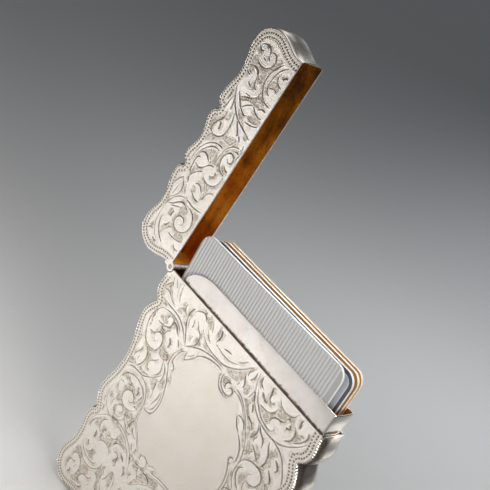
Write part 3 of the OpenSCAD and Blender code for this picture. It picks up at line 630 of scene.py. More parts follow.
def engrave(F, cuts, grounds, region, strength=1.0):
    """Depth below the face, tone of the metal (0 bright to 1 dark) and ground mask over a field."""
    D = np.full(F.shape, 6.0)
    for win, r, _ in F.near(np.vstack([OUT_P, OUT_P[:1]]), 5.6, 20):
        D[win] = np.minimum(D[win], r)
    ins = F.inside(OUT_P)
    D = np.where(ins, D, -D)
    X, Z = F.X, F.Z
    sh = row_shift(X, Z)
    d_field = 2.55 + .8 * sh
    zone = smoothstep(0, .35, D - d_field)
    groove = np.zeros(F.shape); nearest = np.full(F.shape, 9.0); lip = np.zeros(F.shape)
    outer = np.zeros(F.shape); inner = np.zeros(F.shape)
    wobble = 1 + .24 * (noise2(X, Z, 1.1, 3) - .5)
    for n, (w, *pts) in enumerate(cuts):
        p = resample(spline(pts, n=8), .3)
        d = np.diff(p, axis=0)
        ang = np.unwrap(np.arctan2(d[:, 1], d[:, 0]))
        bend = np.gradient(ang) / .3 if len(ang) > 2 else np.zeros(len(ang))
        bend = np.convolve(np.pad(bend, 3, mode="edge"), np.ones(7) / 7, "valid")
        for win, r, t, side in F.near(p, 1.9, bend=bend):
            hw = .54 * w * (.35 + .65 * np.clip(np.sin(np.pi * np.clip(t, .02, .98)) * 1.5, 0, 1)) * wobble[win]
            v = .5 + .5 * np.cos(np.pi * np.clip(r / hw, 0, 1))
            groove[win] = np.maximum(groove[win], v * (.66 + .8 * w))
            nearest[win] = np.minimum(nearest[win], np.maximum(r - hw, 0))
            k = np.clip(side * 2.6, -1, 1) * np.clip(4 * t * (1 - t) * 1.8, 0, 1)
            # lip: a raised ridge beside the cut, also painted lighter below as a painted highlight
            lip[win] = np.maximum(lip[win], np.exp(-((r - hw - .12) / .17) ** 2) * np.clip(w * 2.6, 0, 1) * (1 - .85 * np.clip(k, 0, 1)))
            # outer: the convex side of each curve, sunk a little and painted darker as painted shade so that the leaves
            # look raised
            outer[win] = np.maximum(outer[win], np.clip(k, 0, 1) * np.exp(-(r / .95) ** 2))
            inner[win] = np.maximum(inner[win], np.clip(-k, 0, 1) * np.exp(-(r / .8) ** 2))
    outer = outer * (1 - np.clip(1.4 * inner, 0, 1))
    ground = np.zeros(F.shape)
    for n, poly in enumerate(grounds):
        q = np.array(poly, float)
        q = spline(np.vstack([q, q[:1]]), before=q[-1], after=q[1], n=5)
        win = F.part(q.min(0), q.max(0), .6)
        if win is None:
            continue
        sub = Field.__new__(Field)
        sub.xs, sub.zs = F.xs[win[1]], F.zs[win[0]]
        sub.shape = (len(sub.zs), len(sub.xs))
        sub.X, sub.Z = F.X[win], F.Z[win]
        r = np.full(sub.shape, 9.0)
        for w2, d, _ in sub.near(q, .6):
            r[w2] = np.minimum(r[w2], d)
        r = np.where(sub.inside(q[:-1]), r, -r)
        ground[win] = np.maximum(ground[win], smoothstep(-.22, .30, r))
    # the shield in the middle stays plain up to its border
    q = np.array(CARTOUCHE, float)
    q = np.vstack([q, q[:1]])
    r = np.full(F.shape, 9.0)
    for win, d, _ in F.near(q, 1.2, 6):
        r[win] = np.minimum(r[win], d)
    shield = smoothstep(-.05, .12, np.where(F.inside(q[:-1]), r, -r))
    outer = outer * (1 - shield); lip = lip * (1 - .5 * shield)
    # the hatching turns slowly over the face
    turn = 1.15 + 1.3 * noise2(X, Z, 9.0, 12)
    hatch = .5 + .5 * np.cos((X * np.cos(turn) + Z * np.sin(turn)) * 2 * math.pi / .60)
    matt = .44 * noise2(X, Z, .36, 21) + .26 * noise2(X, Z, .85, 22) + .30 * hatch
    matt = smoothstep(.30, .68, matt)
    outer *= zone; ground *= zone; groove *= zone; lip *= zone; inner *= zone
    pillow = np.exp(-np.where(zone > 0, nearest, 9.0) / .5) * zone * (1 - shield)
    # the sunk, matted ground is the metal's own; the soft dark falloff beside each curve (outer) is painted shade for
    # relief
    low = np.clip(ground + 1.1 * outer, 0, 1)
    low = np.where(low > .28, low, low * low / .28)
    depth = .03 + .04 * pillow + .13 * groove + .045 * low + .034 * matt * low - .036 * lip * (1 - .7 * low)
    # tone: the dark in the cuts and the matted ground is patina; the lip beside each cut and the whole ornament field
    # are painted lighter, painted highlights standing in for glints on the cut facets
    tone = .12 + .56 * np.clip(groove, 0, 1) ** 1.3 + strength * (.06 * low + .29 * matt * low) - .20 * lip * (1 - .8 * low) - .070 * zone * (1 - shield)
    tone = np.where(zone > 0, tone, .12)
    # short shading strokes that a graver leaves on the leaves
    run = .5 + .5 * np.cos((X * np.cos(turn + 1.2) + Z * np.sin(turn + 1.2)) * 2 * math.pi / .60)
    shade = zone * run ** 2 * smoothstep(.50, .66, noise2(X, Z, 2.3, 5)) * np.exp(-((nearest - .4) / .5) ** 2) * (1 - ground)
    depth += .022 * shade
    tone += .11 * shade
    # line that closes the ornament, and the two punched rows
    edge = np.exp(-((D - d_field - .02) / .10) ** 2)
    keep = (region > .25)
    depth += .04 * edge * keep; tone += .16 * edge * keep
    for d0, share, size, deep in ((1.14, .75, .21, .14), (2.14, .8, .21, .13)):
        last = None
        for p, nrm in zip(OUT_P, OUT_N):
            c = p + nrm * (d0 + share * float(row_shift(p[0], p[1])))
            if last is not None and np.hypot(*(c - last)) < .74:
                continue
            win = F.part(c, c, .02)
            if win is None:
                continue
            if D[win].max() < d0 + share * float(row_shift(c[0], c[1])) - .12:
                continue
            last = c
            win = F.part(c, c, .5)
            r = np.hypot(F.X[win] - c[0], F.Z[win] - c[1])
            v = np.clip(1 - (r / (size * 1.35)) ** 2, 0, 1)
            ring = np.exp(-((r - size * 1.7) / .09) ** 2)
            depth[win] += deep * v - .012 * ring
            tone[win] = np.maximum(tone[win], v ** .7 * .85)
    tone += .08 * (noise2(X, Z, .55, 1) - .5) * zone * (1 - shield) + .03 * (noise2(X, Z, 4.2, 2) - .5)
    depth += .008 * (noise2(X, Z, 1.8, 4) - .5)
    return D, np.clip(depth, .004, .42), np.clip(tone, 0, 1), ground


# ---------------------------------------------------------------- meshes
def swing(p):
    """Turns closed-lid points (n x 3, mm) to the open rest pose."""
    c, s = math.cos(OPEN), math.sin(OPEN)
    q = p.copy()
    dx, dz = p[:, 0] - HX, p[:, 2] - HZ
    q[:, 0] = HX + dx * c - dz * s
    q[:, 2] = HZ + dx * s + dz * c
    return q


def make(name, verts, faces, body, replaces, mats, index=None, smooth=True, lid=False, tone=None, ground=None, sharp=55, uv=None):
    v = np.asarray(verts, float)
    if lid:
        v = swing(v)
    me = bpy.data.meshes.new(name)
    quads = isinstance(faces, np.ndarray)
    if quads:
        n, k = faces.shape
        loops = faces.ravel()
        starts = np.arange(n) * k
        totals = np.full(n, k)
    else:
        totals = np.array([len(f) for f in faces])
        starts = np.r_[0, np.cumsum(totals)[:-1]]
        loops = np.concatenate([np.asarray(f) for f in faces])
    me.vertices.add(len(v)); me.vertices.foreach_set("co", (v * MM).astype(np.float32).ravel())
    me.loops.add(len(loops)); me.loops.foreach_set("vertex_index", loops.astype(np.int32))
    me.polygons.add(len(totals))
    me.polygons.foreach_set("loop_start", starts.astype(np.int32))
    me.update(calc_edges=True)
    for m in mats:
        me.materials.append(m)
    if index is not None:
        me.polygons.foreach_set("material_index", np.asarray(index, np.int32))
    # the broad flat faces are shaded flat, so that the rounding of their edges doesn't spread over them
    me.polygons.foreach_set("use_smooth", np.full(len(totals), smooth, bool) & (totals < 9))
    for key, val in (("tone", tone), ("ground", ground)):
        if val is not None:
            at = me.attributes.new(key, "FLOAT", "POINT")
            at.data.foreach_set("value", np.asarray(val, np.float32))
    me.validate(verbose=False)
    me.update()
    if smooth and sharp:
        me.set_sharp_from_angle(angle=math.radians(sharp))
    ob = bpy.data.objects.new(name, me)
    bpy.context.scene.collection.objects.link(ob)
    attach(ob, body)
    if replaces:
        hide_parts(*replaces)
    return ob


def plate(name, F, region, D, depth, tone, ground, wall, front, body, replaces, mats, lid=False):
    """A sheet cut from the field where region > 0, engraved outside and plain inside."""
    h = CELL
    gz, gx = np.gradient(region, h)
    g = np.maximum(np.hypot(gx, gz), 1e-6)
    keep = region > -.5 * h
    snap = np.abs(region) < .5 * h
    X = np.where(snap, F.X - region * gx / g ** 2, F.X)
    Z = np.where(snap, F.Z - region * gz / g ** 2, F.Z)
    # the straight edges at the mouth and at the lid's foot stay on their lines, with the seam open between them
    Z = np.where((np.abs(F.Z - LID0) < 1e-6) & (F.X > HX + 1.3), LID0, Z) if lid else np.minimum(Z, MOUTH)
    ids = -np.ones(F.shape, int)
    ids[keep] = np.arange(keep.sum())
    a, b, c, d = ids[:-1, :-1], ids[:-1, 1:], ids[1:, 1:], ids[1:, :-1]
    has = np.stack([a >= 0, b >= 0, c >= 0, d >= 0])
    full = has.all(0)
    quads = np.stack([a[full], b[full], c[full], d[full]], 1)
    three = has.sum(0) == 3
    tris = []
    for miss in range(4):
        m = three & ~has[miss]
        r = [(a, b, c, d)[k][m] for k in range(4) if k != miss]
        tris.append(np.stack(r, 1))
    tris = np.vstack(tris)
    # a cell whose four corners all lie on the boundary, or a flat triangle, adds nothing
    y = -T + depth[keep] if front else -depth[keep]
    top = np.c_[X[keep], y, Z[keep]]
    e = np.vstack([quads[:, [0, 1]], quads[:, [1, 2]], quads[:, [2, 3]], quads[:, [3, 0]], tris[:, [0, 1]], tris[:, [1, 2]], tris[:, [2, 0]]])
    key = np.sort(e, axis=1)
    code = key[:, 0].astype(np.int64) * (len(top) + 1) + key[:, 1]
    _, first, count = np.unique(code, return_index=True, return_counts=True)
    rim = e[first[count == 1]]
    used = np.unique(rim)
    under = {int(v): len(top) + i for i, v in enumerate(used)}
    inner_y = -T + wall if front else -wall
    low = top[used].copy(); low[:, 1] = inner_y
    lut = np.zeros(len(top), int); lut[used] = len(top) + np.arange(len(used))
    walls = np.stack([rim[:, 1], rim[:, 0], lut[rim[:, 0]], lut[rim[:, 1]]], 1)
    bm = bmesh.new()
    bv = {int(v): bm.verts.new((float(top[v, 0]), 0, float(top[v, 2]))) for v in used}
    edges = [bm.edges.new((bv[int(p)], bv[int(q)])) for p, q in rim]
    order = {vert: int(k) for k, vert in bv.items()}
    bmesh.ops.triangle_fill(bm, use_beauty=False, use_dissolve=False, edges=edges)
    back = []
    for f in bm.faces:
        k = [order[v] for v in f.verts]
        p = top[k]
        area = sum(p[i - 1, 0] * p[i, 2] - p[i, 0] * p[i - 1, 2] for i in range(len(k)))
        if area > 0:
            k = k[::-1]
        back.append([under[i] for i in k])
    bm.free()
    faces = [*quads, *tris, *walls, *back]
    if not front:
        faces = [f[::-1] for f in faces]
    index = np.r_[np.zeros(len(quads) + len(tris) + len(walls), int), np.ones(len(back), int)]
    tn = np.r_[tone[keep], np.full(len(used), .3)]
    gr = np.r_[ground[keep], np.zeros(len(used))]
    return make(name, np.vstack([top, low]), faces, body, replaces, mats, index, lid=lid, tone=tn, ground=gr)


def rim_profile():
    """Inset and distance from the front of the rounded rim, and the inward square direction, from front to back."""
    A, n = .95, 2.05
    ph = np.concatenate([np.linspace(-90, -66, 13), np.linspace(-62, 62, 15), np.linspace(66, 90, 13)]) * math.pi / 180
    c, s = np.abs(np.cos(ph)), np.sin(ph)
    inset = A * (1 - c ** (2 / n))
    y = MID + (T / 2 - .004) * np.sign(s) * np.abs(s) ** (2 / n)
    inset = np.minimum(inset, A)
    pts = np.c_[inset, y]
    pts = pts[(inset <= RIM + .02)]
    first = np.array([[RIM + .16, -T + .09], [RIM + .02, -T + .02]])
    last = first[::-1] * [1, -1] + [0, -T]
    pts = np.vstack([first, pts, last])
    d = np.gradient(pts, axis=0)
    nrm = np.c_[np.abs(d[:, 1]), -d[:, 0] * 1.0]
    nrm = np.c_[d[:, 1], -d[:, 0]]
    nrm /= np.hypot(*nrm.T)[:, None]
    return pts, nrm


def band(name, P, N, wall, body, replaces, mats, lid=False, pitch=.74):
    """The side strip with its rounded, milled rims, as one bent sheet."""
    prof, pn = rim_profile()
    K, M = len(P), len(prof)
    q = P + N * .7
    s = np.r_[0, np.cumsum(np.hypot(*np.diff(q, axis=0).T))]
    s2 = np.r_[0, np.cumsum(np.hypot(*np.diff(P, axis=0).T))]
    ins, y = prof[:, 0], prof[:, 1]
    # milling: short cuts across the rim
    ring = smoothstep(.22, .36, ins) * (1 - smoothstep(.80, .9, ins))
    wave = np.abs(np.sin(np.pi * s / pitch)) ** .75
    cut = (1 - wave)[:, None] * ring[None, :]
    ends = np.clip(np.minimum(s, s[-1] - s) / .5, 0, 1)[:, None]
    cut = cut * ends
    lift = (np.full(K, .0) if lid else .006 + .11 * smoothstep(0, 20, P[:, 0]))[:, None] * cut
    I = ins[None, :] + lift * np.abs(pn[:, 0])[None, :]
    Y = y[None, :] + lift * (pn[:, 1])[None, :]
    wob = .012 * (noise2(s2[:, None] * 1.0, (y[None, :]) * 1.0, 3.0, 7) - .5)
    I = I + np.clip(wob + .006, 0, 1) * (ins[None, :] < .5)
    V = np.empty((K, 2 * M, 3))
    V[:, :M, 0] = P[:, None, 0] + N[:, None, 0] * I
    V[:, :M, 2] = P[:, None, 1] + N[:, None, 1] * I
    V[:, :M, 1] = Y
    inn = prof + pn * wall
    inn[:, 0] = np.clip(inn[:, 0], wall, RIM + .16)
    inn[np.abs(inn[:, 1] - MID) < 3.3, 0] = wall
    inn[:, 1] = np.clip(inn[:, 1], -T + wall * .9, -wall * .9)
    V[:, M:, 0] = P[:, None, 0] + N[:, None, 0] * inn[::-1, 0]
    V[:, M:, 2] = P[:, None, 1] + N[:, None, 1] * inn[::-1, 0]
    V[:, M:, 1] = inn[::-1, 1]
    R = 2 * M
    k = np.arange(K - 1)[:, None]; m = np.arange(R)[None, :]
    m2 = (m + 1) % R
    quads = np.stack([k * R + m + 0 * k, k * R + m2 + 0 * k, (k + 1) * R + m2, (k + 1) * R + m], -1).reshape(-1, 4)
    idx = np.broadcast_to((m >= M) & (m < R - 1), (K - 1, R)).reshape(-1).astype(int)
    cap0 = [(j, R - 1 - j, R - 2 - j, j + 1) for j in range(M - 1)]
    o = (K - 1) * R
    cap1 = [(o + j + 1, o + R - 2 - j, o + R - 1 - j, o + j) for j in range(M - 1)]
    faces = np.vstack([quads, np.array(cap0), np.array(cap1)])
    v = V.reshape(-1, 3)
    # outward check on the middle quad
    mid = quads[(K // 2) * R + M // 2]
    nn = np.cross(v[mid[1]] - v[mid[0]], v[mid[3]] - v[mid[0]])
    out = np.array([-N[K // 2, 0], 0, -N[K // 2, 1]])
    if nn @ out < 0:
        faces = faces[:, ::-1]
    index = np.r_[idx, np.zeros(len(cap0) + len(cap1), int)]
    # darker in the milling and in the creases: painted shade in these hollows, made much stronger along the right side
    # of the body as a painted dark reflection
    turn = np.r_[0, np.arccos(np.clip((N[1:] * N[:-1]).sum(1), -1, 1))]
    crease = np.convolve(turn, np.exp(-(np.arange(-9, 10) / 4.0) ** 2), "same")
    crease = np.clip(crease / .5, 0, 1) * (turn.max() > .1)
    # painted dark reflections as darker strips: beside the front rim, and at the lid's end towards the back
    deep = y[None, :] + T
    patch = .75 + .5 * (noise2(s2[:, None] * 1.0, (y[None, :]) * 1.0, 1.6, 9) - .5)
    painted_dark_reflection = (smoothstep(22, 30, P[:, 0])[:, None] * smoothstep(1.9, 3.6, deep) * .62 if lid
             else smoothstep(12, 26, P[:, 0])[:, None] * smoothstep(.25, .7, deep) * (1 - smoothstep(1.2, 3.6, deep)) * 1.4) * patch
    tn = np.zeros((K, R))
    # rim tone: painted shade in the milling and creases, raised towards the right side as painted dark reflection, plus
    # the painted dark reflection strips
    tn[:, :M] = (np.full(K, .0) if lid else .03 + .45 * smoothstep(0, 20, P[:, 0]))[:, None] * cut + (.25 + .5 * smoothstep(12, 26, P[:, 0]) * (not lid))[:, None] * crease[:, None] * np.clip(1 - ins / .9, 0, 1) + painted_dark_reflection
    return make(name, v, faces, body, replaces, mats, index, lid=lid, tone=tn.ravel(), sharp=50)


def slab_data(loop, y0, y1, bevel, inner=None, rings=3):
    """A flat sheet with rounded edges from a closed XZ loop: vertices, faces and material index."""
    p = np.array(loop, float)
    if ((p[:, 0] * np.roll(p[:, 1], -1)) - (np.roll(p[:, 0], -1) * p[:, 1])).sum() < 0:
        p = p[::-1]
    d1 = p - np.roll(p, 1, 0); d2 = np.roll(p, -1, 0) - p
    n1 = np.c_[-d1[:, 1], d1[:, 0]] / np.maximum(np.hypot(*d1.T), 1e-9)[:, None]
    n2 = np.c_[-d2[:, 1], d2[:, 0]] / np.maximum(np.hypot(*d2.T), 1e-9)[:, None]
    n = n1 + n2
    n = n / np.maximum((n * n).sum(1) / 2, .35)[:, None]
    rows = []
    for k in range(rings + 1):
        a = k / rings * math.pi / 2
        rows.append((bevel * (1 - math.sin(a)), y0 + bevel * (1 - math.cos(a))))
    for k in range(rings + 1):
        a = k / rings * math.pi / 2
        rows.append((bevel * (1 - math.cos(a)), y1 - bevel * (1 - math.sin(a))))
    L = len(p)
    v = np.vstack([np.c_[p[:, 0] + n[:, 0] * i, np.full(L, y), p[:, 1] + n[:, 1] * i] for i, y in rows])
    faces = []
    for r in range(len(rows) - 1):
        for k in range(L):
            j = (k + 1) % L
            faces.append([r * L + k, (r + 1) * L + k, (r + 1) * L + j, r * L + j])
    faces.append(list(range(L)))
    faces.append(list(range((len(rows) - 1) * L, len(rows) * L))[::-1])
    idx = [0] * len(faces)
    if inner == "back":
        idx[-1] = 1
    if inner == "front":
        idx[-2] = 1
    return v, faces, idx


def slab(name, loop, y0, y1, bevel, body, replaces, mats, inner=None, sharp=40, rings=3):
    v, faces, idx = slab_data(loop, y0, y1, bevel, inner, rings)
    return make(name, v, faces, body, replaces, mats, idx, sharp=sharp)


def lathe_y(profile, cx, cz, seg=40):
    """A ring turned about an axis along Y: profile is a closed list of radius, y."""
    pr = np.array(profile, float)
    a = np.linspace(0, 2 * math.pi, seg, endpoint=False)
    v = np.array([[cx + r * math.cos(t), y, cz + r * math.sin(t)] for t in a for r, y in pr])
    n = len(pr)
    f = []
    for i in range(seg):
        j = (i + 1) % seg
        for k in range(n):
            m = (k + 1) % n
            f.append([i * n + k, j * n + k, j * n + m, i * n + m])
    return v, f


def box_part(x0, x1, y0, y1, z0, z1, b=.06):
    """A box with small chamfers, as vertices and faces."""
    bm = bmesh.new()
    bmesh.ops.create_cube(bm, size=1)
    for q in bm.verts:
        q.co = Vector(((x0 + x1) / 2 + q.co.x * (x1 - x0), (y0 + y1) / 2 + q.co.y * (y1 - y0), (z0 + z1) / 2 + q.co.z * (z1 - z0)))
    bmesh.ops.bevel(bm, geom=list(bm.edges), offset=b, segments=2, affect="EDGES", profile=.5)
    bm.verts.index_update()
    v = np.array([q.co[:] for q in bm.verts]); f = [[q.index for q in g.verts] for g in bm.faces]
    bm.free()
    return v, f


def joined(parts):
    V, Fc, o = [], [], 0
    for v, f in parts:
        V.append(v); Fc += [[i + o for i in g] for g in f]; o += len(v)
    return np.vstack(V), Fc


def outward(v, faces):
    """Turns the faces so that the solid's volume is positive."""
    bm = bmesh.new()
    bv = [bm.verts.new(q) for q in v]
    bm.verts.ensure_lookup_table()
    for f in faces:
        bm.faces.new([bv[i] for i in f])
    bmesh.ops.recalc_face_normals(bm, faces=bm.faces)
    bm.verts.index_update()
    out = [[q.index for q in g.verts] for g in bm.faces]
    bm.free()
    return out


# ---------------------------------------------------------------- materials
class Mat:
    def __init__(self, name):
        self.m = bpy.data.materials.new(name)
        self.m.use_nodes = True
        self.nt = self.m.node_tree
        self.b = next(n for n in self.nt.nodes if n.type == "BSDF_PRINCIPLED")
        self.co = None

    def add(self, kind, **kw):
        n = self.nt.nodes.new(kind)
        for k, v in kw.items():
            setattr(n, k, v)
        return n

    def link(self, a, b):
        self.nt.links.new(a, b)

    def coords(self, scale=1000.0, stretch=(1, 1, 1)):
        tc = self.add("ShaderNodeTexCoord")
        mp = self.add("ShaderNodeMapping")
        mp.inputs["Scale"].default_value = tuple(scale * s for s in stretch)
        self.link(tc.outputs["Object"], mp.inputs["Vector"])
        return mp.outputs["Vector"]

    def noise(self, vec, scale, detail=2.0, rough=.5):
        n = self.add("ShaderNodeTexNoise")
        n.inputs["Scale"].default_value = scale
        n.inputs["Detail"].default_value = detail
        n.inputs["Roughness"].default_value = rough
        self.link(vec, n.inputs["Vector"])
        return n.outputs["Fac"]

    def ramp(self, fac, stops):
        r = self.add("ShaderNodeValToRGB")
        cr = r.color_ramp
        while len(cr.elements) < len(stops):
            cr.elements.new(.5)
        for e, (p, c) in zip(cr.elements, stops):
            e.position = p
            e.color = (*c, 1) if len(c) == 3 else c
        self.link(fac, r.inputs["Fac"])
        return r.outputs["Color"]

    def mix(self, fac, a, b, mode="MIX"):
        n = self.add("ShaderNodeMix", data_type="RGBA", blend_type=mode)
        for v, s in ((fac, n.inputs[0]), (a, n.inputs[6]), (b, n.inputs[7])):
            if isinstance(v, (int, float)):
                s.default_value = v
            elif isinstance(v, tuple):
                s.default_value = (*v, 1)
            else:
                self.link(v, s)
        return n.outputs[2]

    def maprange(self, v, a, b, c, d):
        n = self.add("ShaderNodeMapRange")
        for k, x in zip(("From Min", "From Max", "To Min", "To Max"), (a, b, c, d)):
            n.inputs[k].default_value = x
        self.link(v, n.inputs["Value"])
        return n.outputs["Result"]

    def math(self, op, a, b=None):
        n = self.add("ShaderNodeMath", operation=op)
        for v, s in ((a, n.inputs[0]), (b, n.inputs[1])):
            if v is None:
                continue
            if isinstance(v, (int, float)):
                s.default_value = v
            else:
                self.link(v, s)
        return n.outputs[0]

    def attr(self, name):
        n = self.add("ShaderNodeAttribute", attribute_name=name)
        return n.outputs["Fac"]

    def bump(self, height, strength, distance):
        n = self.add("ShaderNodeBump")
        n.inputs["Strength"].default_value = strength
        n.inputs["Distance"].default_value = distance
        self.link(height, n.inputs["Height"])
        self.link(n.outputs["Normal"], self.b.inputs["Normal"])
        return n

    def set(self, **kw):
        for k, v in kw.items():
            s = self.b.inputs[k.replace("_", " ")]
            if isinstance(v, (int, float)):
                s.default_value = v
            elif isinstance(v, tuple):
                s.default_value = (*v, 1)
            else:
                self.link(v, s)
        return self


def engraved():
    m = Mat("engraved_silver")
    v = m.coords()
    tone = m.attr("tone"); ground = m.attr("ground")
    fine = m.noise(v, 2.6, 3, .6)
    broad = m.noise(v, .16, 3, .55)
    vor = m.add("ShaderNodeTexVoronoi", feature="F1")
    vor.inputs["Scale"].default_value = 3.2
    m.link(v, vor.inputs["Vector"])
    stip = m.maprange(vor.outputs["Distance"], .0, .55, 1, 0)
    gs = m.math("MULTIPLY", ground, stip)
    t = m.math("ADD", m.math("MULTIPLY", tone, 1.0), m.math("MULTIPLY", gs, .20))
    t = m.math("ADD", t, m.maprange(fine, .35, .7, -.03, .035))
    col = m.ramp(t, [(0.0, (.99, .95, .895)), (.12, (.885, .83, .76)), (.30, (.72, .65, .565)), (.60, (.40, .34, .275)), (1.0, (.15, .115, .085))])
    col = m.mix(m.maprange(broad, .35, .7, 0, .22), col, (.90, .84, .76), "MULTIPLY")
    m.set(Base_Color=col, Metallic=1.0, Roughness=m.math("ADD", m.maprange(t, 0, 1, .30, .62), m.maprange(fine, .3, .7, -.03, .05)))
    h = m.math("ADD", m.math("MULTIPLY", fine, .35), m.math("MULTIPLY", gs, -1.4))
    m.bump(h, .55, .00003)
    return m.m


def polished(name="polished_silver", rough=.10, tint=(.94, .895, .82)):
    m = Mat(name)
    v = m.coords()
    tone = m.attr("tone")
    n = m.noise(v, .35, 4, .6)
    scr = m.noise(m.coords(1000, (1, .15, 1)), 6, 2, .5)
    col = m.ramp(tone, [(0, tint), (.5, (.45, .4, .35)), (1, (.12, .1, .085))])
    col = m.mix(m.maprange(n, .45, .75, 0, .4), col, (.86, .78, .68), "MULTIPLY")
    m.set(Base_Color=col, Metallic=1.0, Roughness=m.math("ADD", m.maprange(n, .3, .7, rough, rough + .08), m.maprange(tone, 0, 1, 0, .4)))
    m.bump(scr, .12, .00001)
    return m.m


def gilt():
    m = Mat("gilt_inside")
    v = m.coords()
    sep = m.add("ShaderNodeSeparateXYZ")
    m.link(v, sep.inputs[0])
    streak = m.noise(m.coords(1000, (1.6, .35, .35)), .22, 3, .55)
    a = m.noise(v, .16, 4, .6); b = m.noise(v, 1.3, 3, .6)
    f = m.math("ADD", m.math("ADD", m.math("MULTIPLY", a, .40), m.math("MULTIPLY", streak, .45)), m.math("MULTIPLY", b, .15))
    # darker towards the lid's far end, the top in the open pose: painted shade deep in the lid; the noise part of the
    # stain is real staining
    shade_to_top = m.maprange(sep.outputs["Z"], 48, 92, 0, .16)
    f = m.math("SUBTRACT", f, shade_to_top)
    col = m.ramp(f, [(.30, (.20, .08, .02)), (.42, (.56, .205, .015)), (.52, (.86, .375, .03)), (.66, (.98, .57, .09))])
    stain_and_shade = m.math("ADD", m.maprange(m.noise(v, .42, 4, .7), .60, .72, 0, .6), m.maprange(sep.outputs["Z"], 70, 92, 0, .45))
    stain_and_shade = m.math("MULTIPLY", stain_and_shade, m.maprange(m.noise(v, .8, 4, .7), .38, .60, 0, 1))
    col = m.mix(stain_and_shade, col, (.13, .065, .035))
    m.set(Base_Color=col, Metallic=.45, Roughness=m.maprange(b, .3, .7, .26, .40))
    m.bump(b, .15, .00002)
    return m.m


def satin():
    m = Mat("collar_silver")
    v = m.coords()
    brushed = m.noise(m.coords(1000, (.12, 1, 3.4)), 1.6, 3, .6)
    smear = m.noise(v, .22, 4, .6)
    fine = m.noise(v, 1.1, 3, .6)
    sep = m.add("ShaderNodeSeparateXYZ")
    m.link(v, sep.inputs[0])
    height = m.math("ADD", sep.outputs["Z"], m.maprange(fine, .3, .7, -.26, .26))
    joint = m.maprange(height, 28.42, 28.95, 1, 0)
    foot = m.math("MULTIPLY", m.maprange(height, 28.4, 31.0, 1, 0), m.maprange(m.noise(v, .5, 4, .65), .50, .72, 0, 1))
    col = m.ramp(smear, [(.3, (.86, .81, .765)), (.5, (.92, .875, .83)), (.72, (.95, .92, .88))])
    blot = m.maprange(m.noise(v, .34, 5, .7), .56, .70, 0, .38)
    col = m.mix(blot, col, (.70, .64, .58))
    col = m.mix(m.math("MULTIPLY", foot, .5), col, (.62, .50, .42))
    col = m.mix(m.math("MULTIPLY", joint, .92), col, (.13, .085, .055))
    m.set(Base_Color=col, Metallic=1.0, Roughness=m.math("ADD", m.maprange(smear, .3, .7, .36, .28), m.math("MULTIPLY", joint, .3)))
    m.bump(brushed, .05, .00001)
    return m.m


def hinge_metal(name="hinge_silver", stops=((.3, (.38, .33, .27)), (.5, (.62, .56, .485)), (.72, (.80, .755, .69)))):
    m = Mat(name)
    v = m.coords()
    a = m.noise(v, .9, 4, .6)
    rings = m.noise(m.coords(1000, (.2, 4, .2)), 1.4, 3, .6)
    col = m.ramp(a, list(stops))
    m.set(Base_Color=col, Metallic=1.0, Roughness=m.maprange(rings, .3, .7, .34, .54))
    m.bump(rings, .25, .00002)
    return m.m


def card(name, face, edge, rough, metallic=0.0, speck=.03):
    """A plastic card: face colour with a fine speckle, and its paler cut edge as a second material."""
    out = []
    for k, c in (("face", face), ("edge", edge)):
        m = Mat(name + "_" + k)
        v = m.coords()
        n = m.noise(v, 5, 3, .6); w = m.noise(v, .2, 3, .5)
        dark = tuple(x * (1 - 3 * speck) for x in c)
        col = m.mix(m.maprange(n, .35, .65, 0, 1), dark, c)
        col = m.mix(m.maprange(w, .3, .7, 0, .25), col, tuple(x * .94 for x in c))
        m.set(Base_Color=col, Roughness=m.maprange(w, .3, .7, rough, rough + .08), Metallic=metallic if k == "face" else 0.0, IOR=1.5)
        m.bump(n, .08, .00001)
        out.append(m.m)
    return out


M_ENG, M_POL, M_GILT, M_SAT, M_HINGE = engraved(), polished(), gilt(), satin(), hinge_metal()
# a near-black metal for the body's hinge leaf: painted shadow for the deep gap under the barrel
M_PAINTED_SHADOW = hinge_metal("hinge_painted_shadow", ((.3, (.03, .022, .016)), (.5, (.07, .05, .035)), (.72, (.14, .10, .07))))

# ---------------------------------------------------------------- plates and bands
F_BODY = Field(-34.4, 34.4, -45.6, MOUTH, MOUTH)
F_LID = Field(-34.5, 34.5, 26.8, 45.6, LID0)


def body_region(F, D):
    hinge = np.hypot(F.X - HX, F.Z - HZ) - 1.6
    return np.minimum(np.minimum(D - RIM, hinge), MOUTH - F.Z + CELL * .49)


def lid_region(F, D):
    r = np.hypot(F.X - HX, F.Z - HZ)
    flat = np.minimum(D - RIM, F.Z - LID0 + CELL * .49)
    ear = 1.25 - r
    neck = np.minimum.reduce([D - .05, F.Z - LID0 + CELL * .49, 1.75 - np.hypot(F.X - HX, F.Z - HZ - .6)])
    return np.minimum(np.maximum.reduce([flat, ear, neck]), r - .46)


